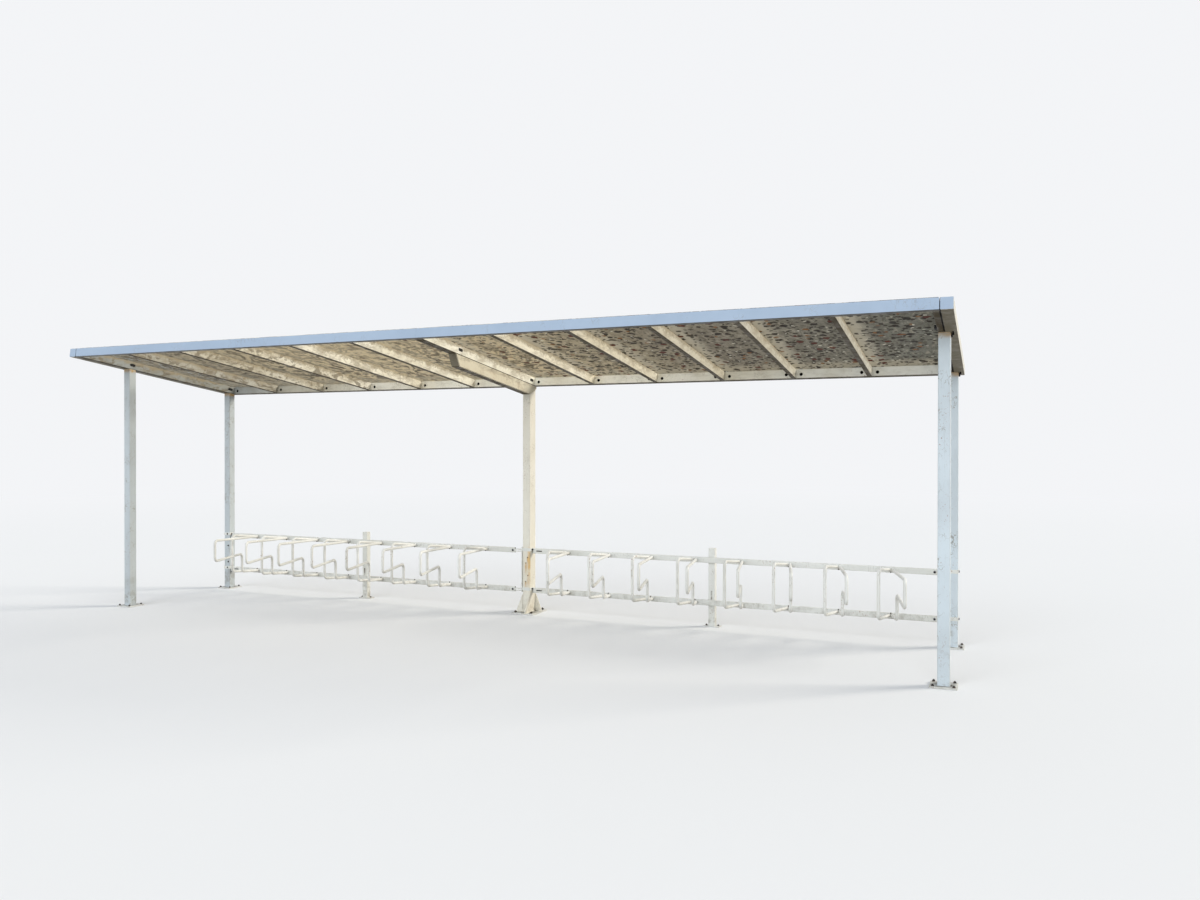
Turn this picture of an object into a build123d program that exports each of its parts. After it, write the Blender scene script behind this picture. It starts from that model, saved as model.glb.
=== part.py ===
from build123d import *
import math
import os

# An open bicycle shelter: two roof bays on five steel posts, over a rail with sixteen wheel stands.
# Millimetres. X runs along the row, the open front faces -Y, +Z is up and the feet stand on z = 0.
# The origin is on the ground, under the middle of the whole object.

# Driving sizes of the layout
bay_length = 3864
row_spacing = 1310
front_overhang = 605
rear_overhang = 101
roof_slope = 7.6
front_top = 2390
module_gap = 4

# Roof members, in the sloped plane of the roof
member_depth = 80
member_wall = 3
fascia_thickness = 40
rear_beam_thickness = 60
rafter_width = 40
rafter_spaces = 6
end_beam_width = 80
end_beam_wall = 4
sheet_thickness = 10
sheet_inset = 6
sheet_front_inset = 30
access_hole_radius = 14
access_hole_offset = 64
access_hole_height = 35
access_slot_length = 60
access_slot_height = 25
access_slot_level = 42
front_slot_ahead = 8
rear_slot_ahead = 65
drain_slot_length = 110
drain_slot_width = 10
drain_slot_clear = 14
cutter_sides = 10

# Centre beam that carries the inner ends of both roof bays
centre_beam_width = 80
centre_beam_depth = 100
centre_beam_wall = 4
centre_beam_front = 70
centre_beam_rake = 57
centre_beam_tail = 20
centre_beam_tip = 25
vent_radius = 8

# Posts and their feet
post_size = 80
post_wall = 4
post_cap_thickness = 10
post_vent_radius = 6
middle_post_depth = 120
middle_post_wall = 5
foot_size = 180
foot_thickness = 10
foot_bolt_spacing = 136
foot_bolt_radius = 7
middle_foot_width = 240
middle_foot_depth = 300
middle_foot_thickness = 12
middle_bolt_x = 170
middle_bolt_y = 240
middle_bolt_radius = 9
gusset_thickness = 8
gusset_height = 168
gusset_side_foot = 72
gusset_end_foot = 100
gusset_nose = 4

# Rails, tongues and hangers behind the wheels
rail_height = 50
rail_depth = 25
rail_wall = 2.5
top_rail_level = 577
bottom_rail_level = 194
rail_gaps = (114, 80)
rail_slot_start = 44
rail_slot_length = 62
rail_slot_height = 10
tongue_overlap = 34
tongue_height = 30
tongue_thickness = 5
tongue_slot_start = 22
tongue_slot_end = 14
tongue_slot_height = 9
hanger_bar_width = 12
hanger_bar_proud = 6
hanger_bar_inner = 10
hanger_bottom = 205
hanger_top = 640
strap_thickness = 4
strap_height = 30
strap_levels = (220, 602)
strap_leg_reach = 12

# Support posts behind the rails
support_size = 60
support_wall = 3
support_height = 705
support_shares = (0.4876, 0.4762)
support_foot_length = 150
support_foot_width = 80
support_foot_thickness = 8
support_bolt_spacing = 110
support_bolt_radius = 5.5
support_hole_level = 320
support_hole_radius = 6

# Wheel stands of bent tube
stands_per_bay = 8
first_stand = 361
last_stand = 541
stand_tube = 26
tube_sides = 8
bend_radius = 40
bend_steps = 3
seat_x = 61
seat_spread = 11
top_seat_level = 602
bottom_seat_level = 222
leg_reach = 310
leg_top = 640
leg_bottom = 242
hook_x = 142
hook_bottom = 250
hook_top = 445
loop_x = 243.5
loop_reach = 784
loop_bottom = 420
loop_top = 635

# Sizes worked out from the driving ones
slope_cos = math.cos(math.radians(roof_slope))
slope_tan = math.tan(math.radians(roof_slope))
front_reach = row_spacing + front_overhang * slope_cos
rear_reach = max(rear_overhang, middle_foot_depth / 2)
rear_row = (front_reach - rear_reach) / 2
front_row = rear_row - row_spacing
bay_starts = (-bay_length, 0)
roof_rise = (member_depth + sheet_thickness) * math.sin(math.radians(roof_slope))
roof_front = -front_overhang
roof_rear = (row_spacing + rear_overhang - roof_rise) / slope_cos
rear_row_on_slope = row_spacing / slope_cos
module_length = bay_length - module_gap
rafter_pitch = (module_length - rafter_width) / rafter_spaces
stand_pitch = (bay_length - first_stand - last_stand) / (stands_per_bay - 1)
rail_face = rear_row - rail_depth / 2
roof_frame = Location((0, front_row, front_top), (-roof_slope, 0, 0))


def block(x, y, z):
    """A solid box between three pairs of limits."""
    centre = ((x[0] + x[1]) / 2, (y[0] + y[1]) / 2, (z[0] + z[1]) / 2)
    return Pos(*centre) * Box(x[1] - x[0], y[1] - y[0], z[1] - z[0])


def hollow(x, y, z, wall, along):
    """A rectangular tube that is open along one axis."""
    limits = {"x": x, "y": y, "z": z}
    inner = {}
    for axis, (low, high) in limits.items():
        inset = 0 if axis == along else wall
        inner[axis] = (low + inset, high - inset)
    return block(x, y, z) - block(inner["x"], inner["y"], inner["z"])


def hole(centre, radius, length, axis):
    """A round cutter through a point, along X, Y or Z."""
    turns = {"x": (0, 90, 0), "y": (90, 0, 0), "z": (0, 0, 0)}
    return Pos(*centre) * Rot(*turns[axis]) * Cylinder(radius, length)


def plain_hole(centre, radius, length, axis):
    """The same cutter with a few flat sides, for a hole that takes no anchor."""
    planes = {"x": Plane.YZ, "y": Plane.XZ, "z": Plane.XY}
    prism = extrude(planes[axis] * RegularPolygon(radius, cutter_sides), length / 2, both=True)
    return Pos(*centre) * prism


def slot(centre, length, height, depth, along, through):
    """A cutter with rounded ends in a few flats. It lies along one axis and goes through another."""
    axes = {"x": (1, 0, 0), "y": (0, 1, 0), "z": (0, 0, 1)}
    plane = Plane(origin=centre, x_dir=axes[along], z_dir=axes[through])
    outline = []
    for i in range(cutter_sides):
        turn = 2 * math.pi * (i + 0.5) / cutter_sides
        end = math.copysign((length - height) / 2, math.cos(turn))
        outline.append((end + math.cos(turn) * height / 2, math.sin(turn) * height / 2))
    return extrude(plane * Polygon(*outline, align=None), depth / 2, both=True)


def under_roof(thickness):
    """A wide slab just under the roof's lower plane, for cutting post tops."""
    reach = bay_length * 3
    return roof_frame * block((-reach, reach), (-reach, reach), (-thickness, 0))


def save(shape, name):
    """Write one named piece."""
    shape.label = name
    export_step(shape, f"parts/{name}.step")


# Corner posts, each one welded piece with its foot plate and its sloping cap
def corner_post(x, y):
    half = post_size / 2
    plan_x = (x - half, x + half)
    plan_y = (y - half, y + half)
    height = (foot_thickness, front_top + post_size)
    shaft = hollow(plan_x, plan_y, height, post_wall, "z")
    shaft -= roof_frame * block(
        (-bay_length * 2, bay_length * 2), (-bay_length, bay_length), (-post_cap_thickness, post_size * 6)
    )
    cap = block(plan_x, plan_y, height) & under_roof(post_cap_thickness)
    cap -= plain_hole((x, y, front_top), post_vent_radius, front_top, "z")
    foot_half = foot_size / 2
    foot = block((x - foot_half, x + foot_half), (y - foot_half, y + foot_half), (0, foot_thickness))
    bolt = foot_bolt_spacing / 2
    for bolt_x in (x - bolt, x + bolt):
        for bolt_y in (y - bolt, y + bolt):
            foot -= hole((bolt_x, bolt_y, 0), foot_bolt_radius, foot_thickness * 3, "z")
    return shaft + cap + foot


# Centre beam, cut back at the front and tapered over the middle post
def roof_level(y, depth):
    """Height of a plane a stated depth below the roof's lower plane."""
    return front_top - (y - front_row) * slope_tan - depth / slope_cos


beam_front = front_row - centre_beam_front
taper_start = rear_row - middle_post_depth / 2
beam_rear = rear_row + middle_post_depth / 2 + centre_beam_tail
taper_start_z = roof_level(taper_start, centre_beam_depth)
beam_tip_z = roof_level(beam_rear, centre_beam_tip)


def centre_beam():
    outline = [
        (beam_front, roof_level(beam_front, 0)),
        (beam_front + centre_beam_rake, roof_level(beam_front + centre_beam_rake, centre_beam_depth)),
        (taper_start, taper_start_z),
        (beam_rear, beam_tip_z),
        (beam_rear, roof_level(beam_rear, 0)),
    ]
    face = Plane.YZ * Polygon(*outline, align=None)
    inner = Plane.YZ * offset(Polygon(*outline, align=None), -centre_beam_wall)
    solid = extrude(face, centre_beam_width / 2, both=True)
    solid -= extrude(inner, centre_beam_width / 2 - centre_beam_wall, both=True)
    vent_y = front_row + post_size
    return solid - plain_hole((0, vent_y, roof_level(vent_y, 0)), vent_radius, centre_beam_wall * 4, "z")


def middle_post():
    half_x = post_size / 2
    half_y = middle_post_depth / 2
    plan_y = (rear_row - half_y, rear_row + half_y)
    shaft = hollow((-half_x, half_x), plan_y, (middle_foot_thickness, front_top), middle_post_wall, "z")
    above = Polygon(
        (taper_start, taper_start_z),
        (beam_rear, beam_tip_z),
        (beam_rear, front_top * 2),
        (taper_start, front_top * 2),
        align=None,
    )
    return shaft - extrude(Plane.YZ * above, post_size, both=True)


def middle_foot():
    half_x = middle_foot_width / 2
    half_y = middle_foot_depth / 2
    foot = block((-half_x, half_x), (rear_row - half_y, rear_row + half_y), (0, middle_foot_thickness))
    for x in (-middle_bolt_x / 2, middle_bolt_x / 2):
        for y in (rear_row - middle_bolt_y / 2, rear_row + middle_bolt_y / 2):
            foot -= hole((x, y, 0), middle_bolt_radius, middle_foot_thickness * 3, "z")
    return foot


# Four gussets around the middle post, each flush with one face like the arms of a pinwheel
def gusset(reach):
    """A triangular plate from the origin along +X, standing on z = 0 and centred on y = 0."""
    outline = Polygon(
        (0, 0), (reach, 0), (reach, gusset_nose), (gusset_nose, gusset_height), (0, gusset_height), align=None
    )
    return extrude(Plane.XZ * outline, gusset_thickness / 2, both=True)


def middle_gussets():
    edge_x = (post_size - gusset_thickness) / 2
    edge_y = (middle_post_depth - gusset_thickness) / 2
    half_x = post_size / 2
    half_y = middle_post_depth / 2
    z = middle_foot_thickness
    places = [
        (half_x, edge_y, 0, gusset_side_foot),
        (-edge_x, half_y, 90, gusset_end_foot),
        (-half_x, -edge_y, 180, gusset_side_foot),
        (edge_x, -half_y, 270, gusset_end_foot),
    ]
    plates = [Pos(x, rear_row + y, z) * Rot(0, 0, turn) * gusset(reach) for x, y, turn, reach in places]
    return Compound(children=plates)


# Roof members, drawn flat and then laid on the slope
def fascia(start):
    y = (roof_front, roof_front + fascia_thickness)
    return hollow((start, start + module_length), y, (0, member_depth), member_wall, "x")


def rafter_centres(start):
    return [start + rafter_width / 2 + rafter_pitch * i for i in range(rafter_spaces + 1)]


def rear_beam(start):
    front_face = roof_rear - rear_beam_thickness
    beam = hollow((start, start + module_length), (front_face, roof_rear), (0, member_depth), member_wall, "x")
    for x in rafter_centres(start):
        for side in (-1, 1):
            hole_x = x + side * access_hole_offset
            if start < hole_x < start + module_length:
                beam -= plain_hole((hole_x, front_face, access_hole_height), access_hole_radius, member_wall * 4, "y")
    return beam


def rafter(centre):
    half = rafter_width / 2
    y = (roof_front + fascia_thickness, roof_rear - rear_beam_thickness)
    return hollow((centre - half, centre + half), y, (0, member_depth), member_wall, "y")


def edge_rafter(centre, inward):
    """A side member with an access slot over each post row, in its wall on the bay's side."""
    beam = rafter(centre)
    wall_x = centre + inward * rafter_width / 2
    for y in (-front_slot_ahead, roof_rear - rear_beam_thickness - rear_slot_ahead):
        place = (wall_x, y, access_slot_level)
        beam -= slot(place, access_slot_length, access_slot_height, member_wall * 4, "y", "x")
    return beam


def roof_sheet(start):
    x = (start + sheet_inset, start + module_length - sheet_inset)
    y = (roof_front + sheet_front_inset, roof_rear - sheet_inset)
    return block(x, y, (member_depth, member_depth + sheet_thickness))


def end_beam(side):
    """The beam past the last rafter, closed at its ends, with a drain slot beside each post."""
    inner = side * (bay_length + module_gap / 2)
    outer = inner + side * end_beam_width
    x = (min(inner, outer), max(inner, outer))
    beam = block(x, (roof_front, roof_rear), (0, member_depth))
    wall = end_beam_wall
    beam -= block((x[0] + wall, x[1] - wall), (roof_front + wall, roof_rear - wall), (wall, member_depth - wall))
    slot_x = side * (bay_length + post_size / 2 + drain_slot_clear)
    for y in (0, rear_row_on_slope):
        beam -= slot((slot_x, y, 0), drain_slot_length, drain_slot_width, wall * 4, "y", "z")
    return beam


# Rails behind the wheels and what hangs them on the posts
def rail(start, level, gap):
    half = post_size / 2
    x = (start + half + strap_thickness, start + bay_length - half - gap)
    y = (rail_face, rail_face + rail_depth)
    tube = hollow(x, y, (level, level + rail_height), rail_wall, "x")
    slot_x = start + half + rail_slot_start + rail_slot_length / 2
    place = (slot_x, rail_face, level + rail_height / 2)
    return tube - slot(place, rail_slot_length, rail_slot_height, rail_wall * 4, "x", "y")


def tongue(start, level, gap):
    """A flat bar across the gap between a rail's end and the hanger, with a slot in the part that shows."""
    post_face = start + bay_length - post_size / 2
    x = (post_face - gap - tongue_overlap, post_face - hanger_bar_width)
    z = level + rail_height / 2
    strip = block(x, (rail_face - tongue_thickness, rail_face), (z - tongue_height / 2, z + tongue_height / 2))
    slot_x = (post_face - gap + tongue_slot_end, post_face - tongue_slot_start - hanger_bar_width)
    place = (sum(slot_x) / 2, rail_face, z)
    return strip - slot(place, slot_x[1] - slot_x[0], tongue_slot_height, tongue_thickness * 4, "x", "y")


def strap(x, half_depth, level, both_legs):
    """A flat strap over a post's front, with one leg or two along its sides."""
    half = post_size / 2
    front = rear_row - half_depth
    z = (level, level + strap_height)
    left = half + strap_thickness if both_legs else half
    piece = block((x - left, x + half + strap_thickness), (front - strap_thickness, front), z)
    leg_y = (front - strap_thickness, rear_row + strap_leg_reach)
    piece += block((x + half, x + half + strap_thickness), leg_y, z)
    if both_legs:
        piece += block((x - half - strap_thickness, x - half), leg_y, z)
    return piece


def hanger(x, half_depth):
    """A flat bar down a post's left face, carried by two straps."""
    half = post_size / 2
    y = (rear_row - half_depth - hanger_bar_proud, rear_row - hanger_bar_inner)
    bar = block((x - half - hanger_bar_width, x - half), y, (hanger_bottom, hanger_top))
    for level in strap_levels:
        bar += strap(x, half_depth, level, False)
    return bar


def end_straps(x, half_depth):
    return Compound(children=[strap(x, half_depth, level, True) for level in strap_levels])


def support(x):
    """A short square post that the rails rest against, closed on top."""
    half = support_size / 2
    back = rail_face + rail_depth
    limits_x = (x - half, x + half)
    limits_y = (back, back + support_size)
    z = (support_foot_thickness, support_height)
    tube = block(limits_x, limits_y, z)
    wall = support_wall
    tube -= block(
        (limits_x[0] + wall, limits_x[1] - wall), (limits_y[0] + wall, limits_y[1] - wall), (z[0], z[1] - wall)
    )
    tube -= plain_hole((x, back, support_hole_level), support_hole_radius, wall * 4, "y")
    half_x = support_foot_length / 2
    half_y = support_foot_width / 2
    middle = back + half
    foot = block((x - half_x, x + half_x), (middle - half_y, middle + half_y), (0, z[0]))
    bolt = support_bolt_spacing / 2
    for bolt_x in (x - bolt, x + bolt):
        foot -= hole((bolt_x, middle, 0), support_bolt_radius, support_foot_thickness * 3, "z")
    return tube + foot


# Wheel stands: two bent tubes that meet side by side on the faces of both rails
def bent_path(corners):
    """Points of a bent tube's centre line, with each inner corner stepped round its bend."""
    points = [corners[0]]
    for before, corner, after in zip(corners, corners[1:], corners[2:]):
        inward = (before - corner).normalized()
        outward = (after - corner).normalized()
        turn = math.pi - math.radians(inward.get_angle(outward))
        centre = corner + (inward + outward).normalized() * (bend_radius / math.cos(turn / 2))
        start = corner + inward * (bend_radius * math.tan(turn / 2)) - centre
        axis = Axis((0, 0, 0), outward.cross(inward))
        for step in range(bend_steps + 1):
            points.append(centre + start.rotate(axis, math.degrees(turn) * step / bend_steps))
    points.append(corners[-1])
    return points


def bent_tube(corners):
    points = bent_path(corners)
    start = Plane(origin=points[0], z_dir=points[1] - points[0])
    section = start * RegularPolygon(stand_tube / 2, tube_sides)
    return sweep(section, path=Polyline(*points), transition=Transition.RIGHT)


def past_seat(seat, corner):
    """The seat moved on into the rail, so that the tube can be cut off flush with the rail's face."""
    return seat + (seat - corner).normalized() * stand_tube * 2


def wheel_stand(x):
    top_left = Vector(seat_x - seat_spread, 0, top_seat_level)
    top_right = Vector(seat_x + seat_spread, 0, top_seat_level)
    bottom_left = Vector(seat_x - seat_spread, 0, bottom_seat_level)
    bottom_right = Vector(seat_x + seat_spread, 0, bottom_seat_level)
    leg_head = Vector(0, -leg_reach, leg_top)
    leg_foot = Vector(0, -leg_reach, leg_bottom)
    loop_head = Vector(loop_x, -loop_reach, loop_top)
    loop_foot = Vector(loop_x, -loop_reach, loop_bottom)
    hook_head = Vector(hook_x, -leg_reach, hook_top)
    hook_foot = Vector(hook_x, -leg_reach, hook_bottom)
    left = bent_tube([past_seat(top_left, leg_head), leg_head, leg_foot, past_seat(bottom_left, leg_foot)])
    right = bent_tube(
        [
            past_seat(top_right, loop_head),
            loop_head,
            loop_foot,
            hook_head,
            hook_foot,
            past_seat(bottom_right, hook_foot),
        ]
    )
    reach = loop_reach * 2
    left &= block((-reach, seat_x), (-reach, 0), (0, reach))
    right &= block((seat_x, reach), (-reach, 0), (0, reach))
    return Pos(x, rail_face, 0) * (left + right)


os.makedirs("parts", exist_ok=True)

corners = {
    "front_left": (-bay_length, front_row),
    "front_right": (bay_length, front_row),
    "rear_left": (-bay_length, rear_row),
    "rear_right": (bay_length, rear_row),
}
for name, (x, y) in corners.items():
    save(corner_post(x, y), f"corner_post_{name}")

save(middle_post(), "middle_post")
save(middle_foot(), "middle_foot_plate")
save(middle_gussets(), "middle_gussets")
save(centre_beam(), "centre_beam")
save(roof_frame * end_beam(-1), "end_beam_left")
save(roof_frame * end_beam(1), "end_beam_right")

for bay, start, gap in zip(("left", "right"), bay_starts, rail_gaps):
    module_start = start + module_gap / 2
    centres = rafter_centres(module_start)
    save(roof_frame * fascia(module_start), f"fascia_{bay}_bay")
    save(roof_frame * rear_beam(module_start), f"rear_beam_{bay}_bay")
    save(roof_frame * edge_rafter(centres[0], 1), f"edge_rafter_{bay}_bay_left")
    save(roof_frame * edge_rafter(centres[-1], -1), f"edge_rafter_{bay}_bay_right")
    inner = [roof_frame * rafter(x) for x in centres[1:-1]]
    save(Compound(children=inner), f"rafters_{bay}_bay")
    save(roof_frame * roof_sheet(module_start), f"roof_sheet_{bay}_bay")
    save(rail(start, top_rail_level, gap), f"top_rail_{bay}_bay")
    save(rail(start, bottom_rail_level, gap), f"bottom_rail_{bay}_bay")
    tongues = [tongue(start, level, gap) for level in (top_rail_level, bottom_rail_level)]
    save(Compound(children=tongues), f"rail_tongues_{bay}_bay")
    for i in range(stands_per_bay):
        stand = wheel_stand(start + first_stand + stand_pitch * i)
        save(stand, f"wheel_stand_{bay}_bay_{i + 1}")

for bay, start, share in zip(("left", "right"), bay_starts, support_shares):
    save(support(start + bay_length * share), f"rail_support_{bay}_bay")

save(hanger(0, middle_post_depth / 2), "hanger_middle_post")
save(hanger(bay_length, post_size / 2), "hanger_rear_right_post")
save(end_straps(-bay_length, post_size / 2), "straps_rear_left_post")
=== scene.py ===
import math
import random

import bmesh
import bpy
from mathutils import Matrix, Vector


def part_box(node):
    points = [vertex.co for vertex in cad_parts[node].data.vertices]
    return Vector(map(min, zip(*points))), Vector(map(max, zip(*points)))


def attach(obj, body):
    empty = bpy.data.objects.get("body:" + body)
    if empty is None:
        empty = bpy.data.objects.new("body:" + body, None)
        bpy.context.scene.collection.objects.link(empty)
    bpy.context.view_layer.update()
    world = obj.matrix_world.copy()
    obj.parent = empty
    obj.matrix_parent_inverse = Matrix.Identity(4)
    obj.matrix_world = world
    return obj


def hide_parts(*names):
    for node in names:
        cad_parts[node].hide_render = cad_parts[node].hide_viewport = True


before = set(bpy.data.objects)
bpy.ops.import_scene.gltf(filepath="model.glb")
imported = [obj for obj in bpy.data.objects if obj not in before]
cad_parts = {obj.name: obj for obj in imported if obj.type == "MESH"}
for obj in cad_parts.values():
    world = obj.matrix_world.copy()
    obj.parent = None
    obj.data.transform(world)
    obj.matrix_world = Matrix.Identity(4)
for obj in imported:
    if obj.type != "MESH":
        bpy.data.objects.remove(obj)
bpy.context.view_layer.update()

print("frame loaded,", len(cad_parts), "nodes")

# The layout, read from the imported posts. Everything is in metres.
layout = {
    "slope": math.radians(7.6),
    "overhang": 0.605,
    "gap": 0.004,
    "postSize": 0.080,
    "sheet": 0.010,
}
# Roof members, drawn flat and then laid on the slope
member = {
    "depth": 0.080,
    "wall": 0.003,
    "corner": 0.005,
    "fascia": 0.040,
    "rearBeam": 0.060,
    "rafter": 0.040,
    "spaces": 6,
}
slope = layout["slope"]
slopeCos = math.cos(slope)
slopeTan = math.tan(slope)
half = layout["postSize"] / 2


def boxMiddle(node):
    low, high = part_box(node)
    return (low + high) / 2


bay = boxMiddle("corner_post_front_right").x
frontRow = boxMiddle("corner_post_front_right").y
rearRow = boxMiddle("corner_post_rear_right").y
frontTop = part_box("corner_post_front_right")[1].z - half * slopeTan
bayStarts = {"left": -bay, "right": 0.0}
roofFront = -layout["overhang"]
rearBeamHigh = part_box("rear_beam_left_bay")[1]
roofRear = (rearBeamHigh.y - frontRow - member["depth"] * math.sin(slope)) / slopeCos
rearRowOnSlope = (rearRow - frontRow) / slopeCos
moduleLength = bay - layout["gap"]
rafterPitch = (moduleLength - member["rafter"]) / member["spaces"]
rearBeamFace = roofRear - member["rearBeam"]
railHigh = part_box("top_rail_right_bay")[1]
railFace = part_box("top_rail_right_bay")[0].y
roofPlace = Matrix.Translation((0, frontRow, frontTop)) @ Matrix.Rotation(-slope, 4, "X")


def roofLevel(y, depth=0.0):
    return frontTop - (y - frontRow) * slopeTan - depth / slopeCos


def rafterCentres(start):
    return [start + member["rafter"] / 2 + rafterPitch * i for i in range(member["spaces"] + 1)]


# Places
def aim(point, direction):
    # turns local Z to a direction
    return Matrix.Translation(point) @ Vector(direction).to_track_quat("Z", "Y").to_matrix().to_4x4()


def sideways(x, y, z):
    # local Z runs along the row, local X from front to rear, local Y up
    return Matrix(((0, 0, 1, x), (1, 0, 0, y), (0, 1, 0, z), (0, 0, 0, 1)))


def alongSlope(x, z):
    turn = Matrix(((1, 0, 0, x), (0, 0, 1, 0), (0, -1, 0, z), (0, 0, 0, 1)))
    return roofPlace @ turn


# Paths and outlines
def turnsOf(count):
    return [2 * math.pi * i / count for i in range(count)]


def roundedBox(width, depth, radius, steps=4):
    points = []
    for sideX, sideY, first in ((1, 1, 0), (-1, 1, 90), (-1, -1, 180), (1, -1, 270)):
        for i in range(steps + 1):
            turn = math.radians(first + 90 * i / steps)
            x = sideX * (width / 2 - radius) + radius * math.cos(turn)
            y = sideY * (depth / 2 - radius) + radius * math.sin(turn)
            points.append((x, y))
    return points


def bentLine(corners, radius, steps):
    # the corners of a line, each replaced by an arc
    corners = [Vector(c) for c in corners]
    points = [corners[0]]
    for before, corner, after in zip(corners, corners[1:], corners[2:]):
        inward = (before - corner).normalized()
        outward = (after - corner).normalized()
        turn = math.pi - inward.angle(outward)
        reach = radius * math.tan(turn / 2)
        centre = corner + (inward + outward).normalized() * (radius / math.cos(turn / 2))
        arm = corner + inward * reach - centre
        axis = outward.cross(inward)
        for i in range(steps + 1):
            points.append(centre + Matrix.Rotation(turn * i / steps, 3, axis) @ arm)
    points.append(corners[-1])
    return points


def stripOutline(path, thickness):
    # both sides of a flat line, as one closed outline
    left, right = [], []
    for i, point in enumerate(path):
        along = (path[min(i + 1, len(path) - 1)] - path[max(i - 1, 0)]).normalized()
        side = Vector((-along.y, along.x, 0)) * thickness / 2
        left.append((point + side).to_2d())
        right.append((point - side).to_2d())
    return [tuple(p) for p in left + right[::-1]]


def longHole(length, height, count=20, x=0.0):
    points = []
    for i in range(count):
        turn = 2 * math.pi * (i + 0.5) / count
        end = math.copysign((length - height) / 2, math.cos(turn))
        points.append((x + end + math.cos(turn) * height / 2, math.sin(turn) * height / 2))
    return points


# Mesh makers, which all add to one bmesh
def addTube(mesh, outer, inner, low, high, place=Matrix(), slot=0, inside=None):
    def ring(outline, end):
        ends = [(x, y, end(x, y) if callable(end) else end) for x, y in outline]
        return [mesh.verts.new(place @ Vector(p)) for p in ends]

    def skin(a, b, index=slot):
        count = len(a)
        for i in range(count):
            j = (i + 1) % count
            mesh.faces.new((a[i], a[j], b[j], b[i])).material_index = index

    outLow, outHigh = ring(outer, low), ring(outer, high)
    skin(outLow, outHigh)
    if inner:
        inLow, inHigh = ring(inner, low), ring(inner, high)
        skin(inHigh, inLow, slot if inside is None else inside)
        skin(inLow, outLow)
        skin(outHigh, inHigh)
    else:
        mesh.faces.new(outLow[::-1]).material_index = slot
        mesh.faces.new(outHigh).material_index = slot


def addPlate(mesh, outlines, thickness, edge, place=Matrix(), slot=0):
    # a flat plate with holes and softened edges, from a filled curve
    curve = bpy.data.curves.new("plate", "CURVE")
    curve.dimensions = "2D"
    curve.fill_mode = "BOTH"
    curve.extrude = thickness / 2 - edge
    curve.bevel_depth = edge
    curve.bevel_resolution = 1
    curve.offset = -edge
    for outline in outlines:
        spline = curve.splines.new("POLY")
        spline.points.add(len(outline) - 1)
        for point, (x, y) in zip(spline.points, outline):
            point.co = (x, y, 0, 1)
        spline.use_cyclic_u = True
    holder = bpy.data.objects.new("plate", curve)
    flat = bpy.data.meshes.new_from_object(holder)
    first = len(mesh.faces)
    flat.transform(place)
    mesh.from_mesh(flat)
    mesh.faces.ensure_lookup_table()
    for face in mesh.faces[first:]:
        face.material_index = slot
    bpy.data.objects.remove(holder)
    bpy.data.curves.remove(curve)
    bpy.data.meshes.remove(flat)


def addTurned(mesh, profile, sides, place=Matrix(), slot=0):
    # a profile of (radius, height) pairs turned about Z, six sides make a hexagon
    rings = []
    for radius, height in profile:
        if radius < 1e-6:
            rings.append([mesh.verts.new(place @ Vector((0, 0, height)))])
            continue
        ring = [Vector((radius * math.cos(a), radius * math.sin(a), height)) for a in turnsOf(sides)]
        rings.append([mesh.verts.new(place @ p) for p in ring])
    for a, b in zip(rings, rings[1:]):
        for i in range(sides):
            j = (i + 1) % sides
            corners = [a[i % len(a)], a[j % len(a)], b[j % len(b)], b[i % len(b)]]
            mesh.faces.new(list(dict.fromkeys(corners))).material_index = slot


def addRod(mesh, points, radius, sides, closed=False, ripple=0.0):
    # a round rod along points, and with ripple a weld bead
    count = len(points)
    rings = []
    across = None
    for i, point in enumerate(points):
        before = points[i - 1] if i or closed else point
        after = points[(i + 1) % count] if i < count - 1 or closed else point
        along = (after - before).normalized()
        if across is None:
            across = along.orthogonal().normalized()
        across = (across - along * across.dot(along)).normalized()
        other = along.cross(across)
        size = radius * (1 + ripple * math.sin(i * 2.1) + ripple * math.sin(i * 0.9 + 1))
        ring = [point + (across * math.cos(a) + other * math.sin(a)) * size for a in turnsOf(sides)]
        rings.append([mesh.verts.new(p) for p in ring])
    pairs = list(zip(rings, rings[1:]))
    if closed:
        pairs.append((rings[-1], rings[0]))
    for a, b in pairs:
        # the start of a closed ring may be turned against its end
        gaps = [(a[0].co - b[k].co).length for k in range(sides)]
        turn = gaps.index(min(gaps)) if closed and b is rings[0] else 0
        for i in range(sides):
            j = (i + 1) % sides
            mesh.faces.new((a[i], a[j], b[(j + turn) % sides], b[(i + turn) % sides]))
    if not closed:
        mesh.faces.new(rings[0][::-1])
        mesh.faces.new(rings[-1])


weld = {"step": 0.005, "size": 0.0028, "sides": 6, "ripple": 0.12}


def addWeld(mesh, corners, closed=False, size=weld["size"]):
    # a bead along straight runs, with small ripples
    points = []
    runs = list(zip(corners, corners[1:]))
    if closed:
        runs.append((corners[-1], corners[0]))
    for a, b in runs:
        a, b = Vector(a), Vector(b)
        count = max(2, round((b - a).length / weld["step"]))
        points += [a.lerp(b, i / count) for i in range(count)]
    if not closed:
        points.append(Vector(corners[-1]))
    addRod(mesh, points, size, weld["sides"], closed, weld["ripple"])


# Objects, whose points are all in the frame of the whole
def addObject(name, data):
    thing = bpy.data.objects.new(name, data)
    bpy.context.scene.collection.objects.link(thing)
    return thing


def closeMesh(name, mesh):
    # turns a bmesh into mesh data, with its faces outward
    bmesh.ops.recalc_face_normals(mesh, faces=mesh.faces)
    data = bpy.data.meshes.new(name)
    mesh.to_mesh(data)
    mesh.free()
    return data


def finishShading(piece, sharp):
    piece.data.shade_smooth()
    piece.data.set_sharp_from_angle(angle=math.radians(sharp))
    flats = piece.modifiers.new("flats", "WEIGHTED_NORMAL")
    flats.keep_sharp = True


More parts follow.
